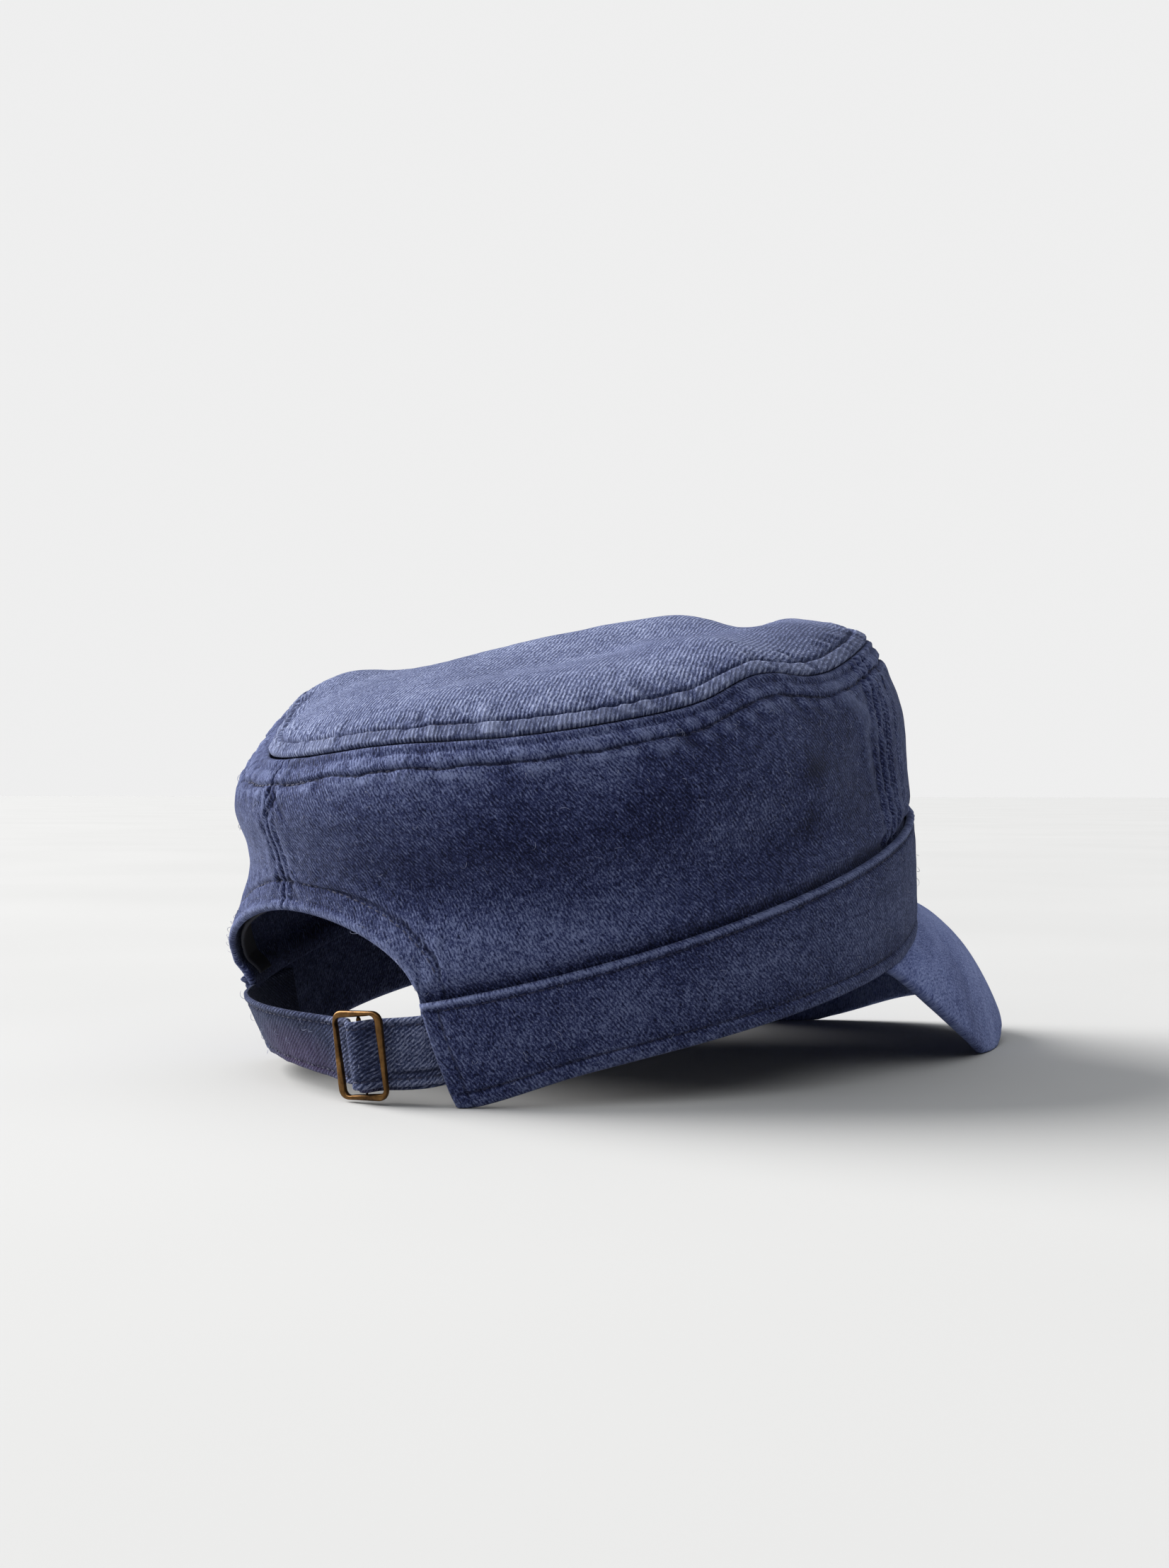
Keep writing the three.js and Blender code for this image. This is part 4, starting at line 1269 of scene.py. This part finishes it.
def loose_fibres(name, places, material, slot, length=3.2, size=0.09):
    """Short curled fibres that stand off the cloth, from (point, outward normal) pairs in metres."""
    mesh = bmesh.new()
    draw = np.random.default_rng(8)
    for point, out in places:
        way = draw.normal(size=3)
        way = way - out * np.dot(way, out)
        way = way / np.linalg.norm(way)
        curl = draw.uniform(1.2, 3.4)
        reach = length * draw.uniform(0.5, 1.1)
        side = np.cross(way, out)
        fibre, column, row = grid(3, 8)
        turned = column / 3 * 2 * math.pi
        t = row / 8
        radius = size * (1 - 0.6 * t) * np.sqrt(1 - np.abs(2 * t - 1) ** 8)
        spots = np.outer(np.sin(curl * t) / curl * reach, way)
        spots += np.outer((1 - np.cos(curl * t)) / curl * reach + np.sin(turned) * radius, side)
        spots += np.outer(0.9 * np.sin(math.pi * t) + np.cos(turned) * radius, out)
        for vert, spot in zip(fibre.verts, (point + spots * MM).tolist()):
            vert.co = spot
        bmesh.ops.remove_doubles(fibre, verts=fibre.verts, dist=SAME_POINT)
        mesh.from_mesh(drain(fibre))
        fibre.free()
    bmesh.ops.recalc_face_normals(mesh, faces=mesh.faces)
    add_piece(name, mesh, material, slot)


def line_on(surface, *places, sink=0.05):
    """A line of stitching at these places of a surface."""
    points, normals, relief, _ = surface(*places)
    return put_down(points + normals * (relief + sink)[:, None]), turn_down(normals)


def turn_down(vectors):
    return (put_down(vectors) - put_down(0 * vectors)) / MM


# Light and floor
AMBIENT = 0.16
BACKDROP = 0.86
KEY_FROM = (-0.806, -0.532, 0.66)
KEY_STRENGTH = 7.5
KEY_SPREAD = 45
SKY_FROM = (0, -0.2, 1)
SKY_STRENGTH = 2.2
SKY_SPREAD = 110
FLOOR_SIZE = 30
FLOOR_CLEARANCE = 0.0002


def soft_light(name, place, strength, spread, color):
    """A light from far away that spreads over that many degrees of the sky."""
    data = bpy.data.lights.new(name, "SUN")
    data.energy = strength
    data.angle = math.radians(spread)
    data.color = color
    lamp = bpy.data.objects.new(name, data)
    bpy.context.scene.collection.objects.link(lamp)
    lamp.rotation_euler = Vector(place).to_track_quat("Z", "Y").to_euler()


def surroundings():
    """Soft light from all round, in front of a plain backdrop that only the camera sees."""
    world = bpy.data.worlds.new("studio")
    bpy.context.scene.world = world
    world.use_nodes = True
    tree = world.node_tree
    surround = tree.nodes["Background"]
    surround.inputs["Strength"].default_value = AMBIENT
    surround.inputs["Color"].default_value = (0.94, 0.97, 1, 1)
    backdrop = tree.nodes.new("ShaderNodeBackground")
    backdrop.inputs["Strength"].default_value = 1
    backdrop.inputs["Color"].default_value = (BACKDROP, BACKDROP, BACKDROP, 1)
    ray = tree.nodes.new("ShaderNodeLightPath")
    either = tree.nodes.new("ShaderNodeMixShader")
    tree.links.new(ray.outputs["Is Camera Ray"], either.inputs[0])
    tree.links.new(surround.outputs[0], either.inputs[1])
    tree.links.new(backdrop.outputs[0], either.inputs[2])
    tree.links.new(either.outputs[0], tree.nodes["World Output"].inputs["Surface"])


def studio():
    bpy.context.scene.view_settings.view_transform = "Standard"
    surroundings()
    soft_light("key", KEY_FROM, KEY_STRENGTH, KEY_SPREAD, (1, 0.985, 0.96))
    soft_light("sky", SKY_FROM, SKY_STRENGTH, SKY_SPREAD, (0.96, 0.98, 1))
    mesh = bmesh.new()
    bmesh.ops.create_grid(mesh, x_segments=1, y_segments=1, size=FLOOR_SIZE)
    data = bpy.data.meshes.new("floor")
    mesh.to_mesh(data)
    mesh.free()
    floor = bpy.data.objects.new("floor", data)
    bpy.context.scene.collection.objects.link(floor)
    floor.location.z = -FLOOR_CLEARANCE
    paint = Finish("floor_paint", Roughness=0.9)
    place = paint.node("TexCoord", output=3)
    mottle = paint.noise(place, 3, 2)
    color = paint.ramp(mottle, (0.3, (0.36, 0.36, 0.36)), (0.7, (0.38, 0.38, 0.38)))
    data.materials.append(paint.finish(Base_Color=color))


# The cap
DENIM = ((11, 14, 36), (42, 49, 87), (106, 115, 149))
# The top panel's and the peak's denim are lighter copies of the wall's: partly faded cloth, partly painted
# light on these upward-facing parts
TOP_DENIM = ((28, 34, 62), (70, 78, 112), (138, 146, 174))
PEAK_DENIM = ((54, 63, 108), (108, 120, 168), (148, 160, 202))
STRAP_DENIM = ((22, 27, 50), (54, 62, 92), (120, 126, 152))
# A purple reflection painted onto the strap left of the buckle
STRAP_PAINTED_REFLECTION = ((42, 3), (34, 11), (74, 46, 78))  # middle, half lengths and tint
wall_cloth = twill("crown_twill", DENIM, 0.85, 56, 0.5, 0.95)
top_cloth = twill("top_twill", TOP_DENIM, 1.05, 125, 1.0, 0.95)
band_cloth = twill("band_twill", DENIM, 0.8, 56, 0.5, 0.95)
peak_cloth = twill("peak_twill", PEAK_DENIM, 0.7, 120, 0.2, 0.75, 1.0)
strap_twill = twill("strap_twill", STRAP_DENIM, 0.95, 150, 1.0, 0.9, painted_reflection=STRAP_PAINTED_REFLECTION)
seam_thread = thread("indigo_thread", (30, 35, 70))

front_columns, side_columns = wall_columns()
crown_wall("crown_front", front_columns, wall_cloth)
crown_wall("crown_side_right", side_columns, wall_cloth)
crown_wall("crown_side_left", 360 - side_columns[::-1], wall_cloth)
crown_top(top_cloth)
band(band_cloth)
facing(plain_tape("dark_tape"))
peak(peak_cloth)
strap(strap_twill)
strap_tab(strap_twill)
buckle(brass("antique_brass"))


def stitched_top(rnd):
    """Points, normals and relief where the top panel's stitching runs."""
    reach = 1 - (TOP_STITCH + wander(mm_round(rnd), 83)) / CROWN_RADIUS
    normals = normals_of(top_point, rnd, reach, 0.002)
    return top_point(rnd, reach), normals * np.sign(normals[:, 2:]), top_relief(rnd, reach), None


def crown_stitching():
    lines = [line_on(stitched_top, np.linspace(0, 360, 1200))]
    for front, start, end in ((True, -51.4, 51.4), (False, 52.6, 179.6), (False, 180.4, 307.4)):
        rnd = np.linspace(start, end, 500)
        strays = wander(mm_round(rnd), 81)
        lines.append(line_on(wall_at, rnd, top_seam_height(rnd) - WALL_STITCH - strays, front))
    for sign in (-1, 1):
        height = np.linspace(38, 84, 120)
        for away in (FELL_NEAR, FELL_FAR):
            rnd = sign * (SIDE_SEAM - math.degrees(away / FELL_RADIUS)) + 0 * height
            low = np.maximum(height, band_top_height(rnd) + 0.5)
            lines.append(line_on(wall_at, rnd, np.minimum(low, top_seam_height(rnd) - 1), True))
        height = np.linspace(ARCH_TOP + 0.6, 83.5, 100)
        rnd = 180 + sign * np.degrees((BACK_STITCH + wander(height, 85)) / CROWN_RADIUS)
        lines.append(line_on(wall_at, rnd, height))
        lean = np.linspace(0.25, math.pi / 2 - 0.03, 200)
        lines.append(line_on(wall_at, *round_the_arch(lean if sign < 0 else math.pi - lean, ARCH_STITCH)))
    stitch_rows("crown_stitches", lines, "crown_cloth")


def band_stitching():
    a = np.linspace(-0.985, 0.985, 1400)
    width = band_place(a, 1)[1] - band_place(a, 0)[1]
    places = [(a, 1 - BAND_TOP_STITCH / width), (a, BAND_FOOT_STITCH / width)]
    share = np.linspace(0.16, 0.9, 80)
    for sign in (-1, 1):
        places.append((sign * (1 - BAND_END_STITCH / mm_round(BAND_END_LOW_RIGHT)) + 0 * share, share))
    stitch_rows("band_stitches", [line_on(band_surface, *place) for place in places], "band_cloth")


def strap_stitching():
    left = np.linspace(1 - STRAP_RIGHT, -STRAP_LEFT - 1, 500)
    rim = STRAP_STITCH / STRAP_WIDTH
    lines = [line_on(strap_surface, left, up + 0 * left) for up in (rim, 1 - rim)]
    stitch_rows("strap_stitches", lines, "strap_cloth")


def fluff():
    """Loose fibres along the arch and scattered over the wall, band and strap."""
    draw = np.random.default_rng(12)
    lean = draw.uniform(0.1, math.pi - 0.1, 46)
    arch = round_the_arch(lean, draw.uniform(0.3, 4, 46))
    wall = draw.uniform(56, 300, 120), draw.uniform(50, 80, 120)
    along = draw.uniform(-0.98, 0.98, 90), draw.uniform(0.1, 0.98, 90)
    hanging = draw.uniform(-30, 80, 26), draw.uniform(0.03, 0.97, 26)
    places = []
    for surface, at in ((wall_at, arch), (wall_at, wall), (band_surface, along), (strap_surface, hanging)):
        places.extend(zip(*line_on(surface, *at, sink=0)))
    loose_fibres("loose_fibres", places, thread("pale_fibre", (128, 136, 168)), "crown_cloth")


crown_stitching()
band_stitching()
strap_stitching()
fluff()
studio()
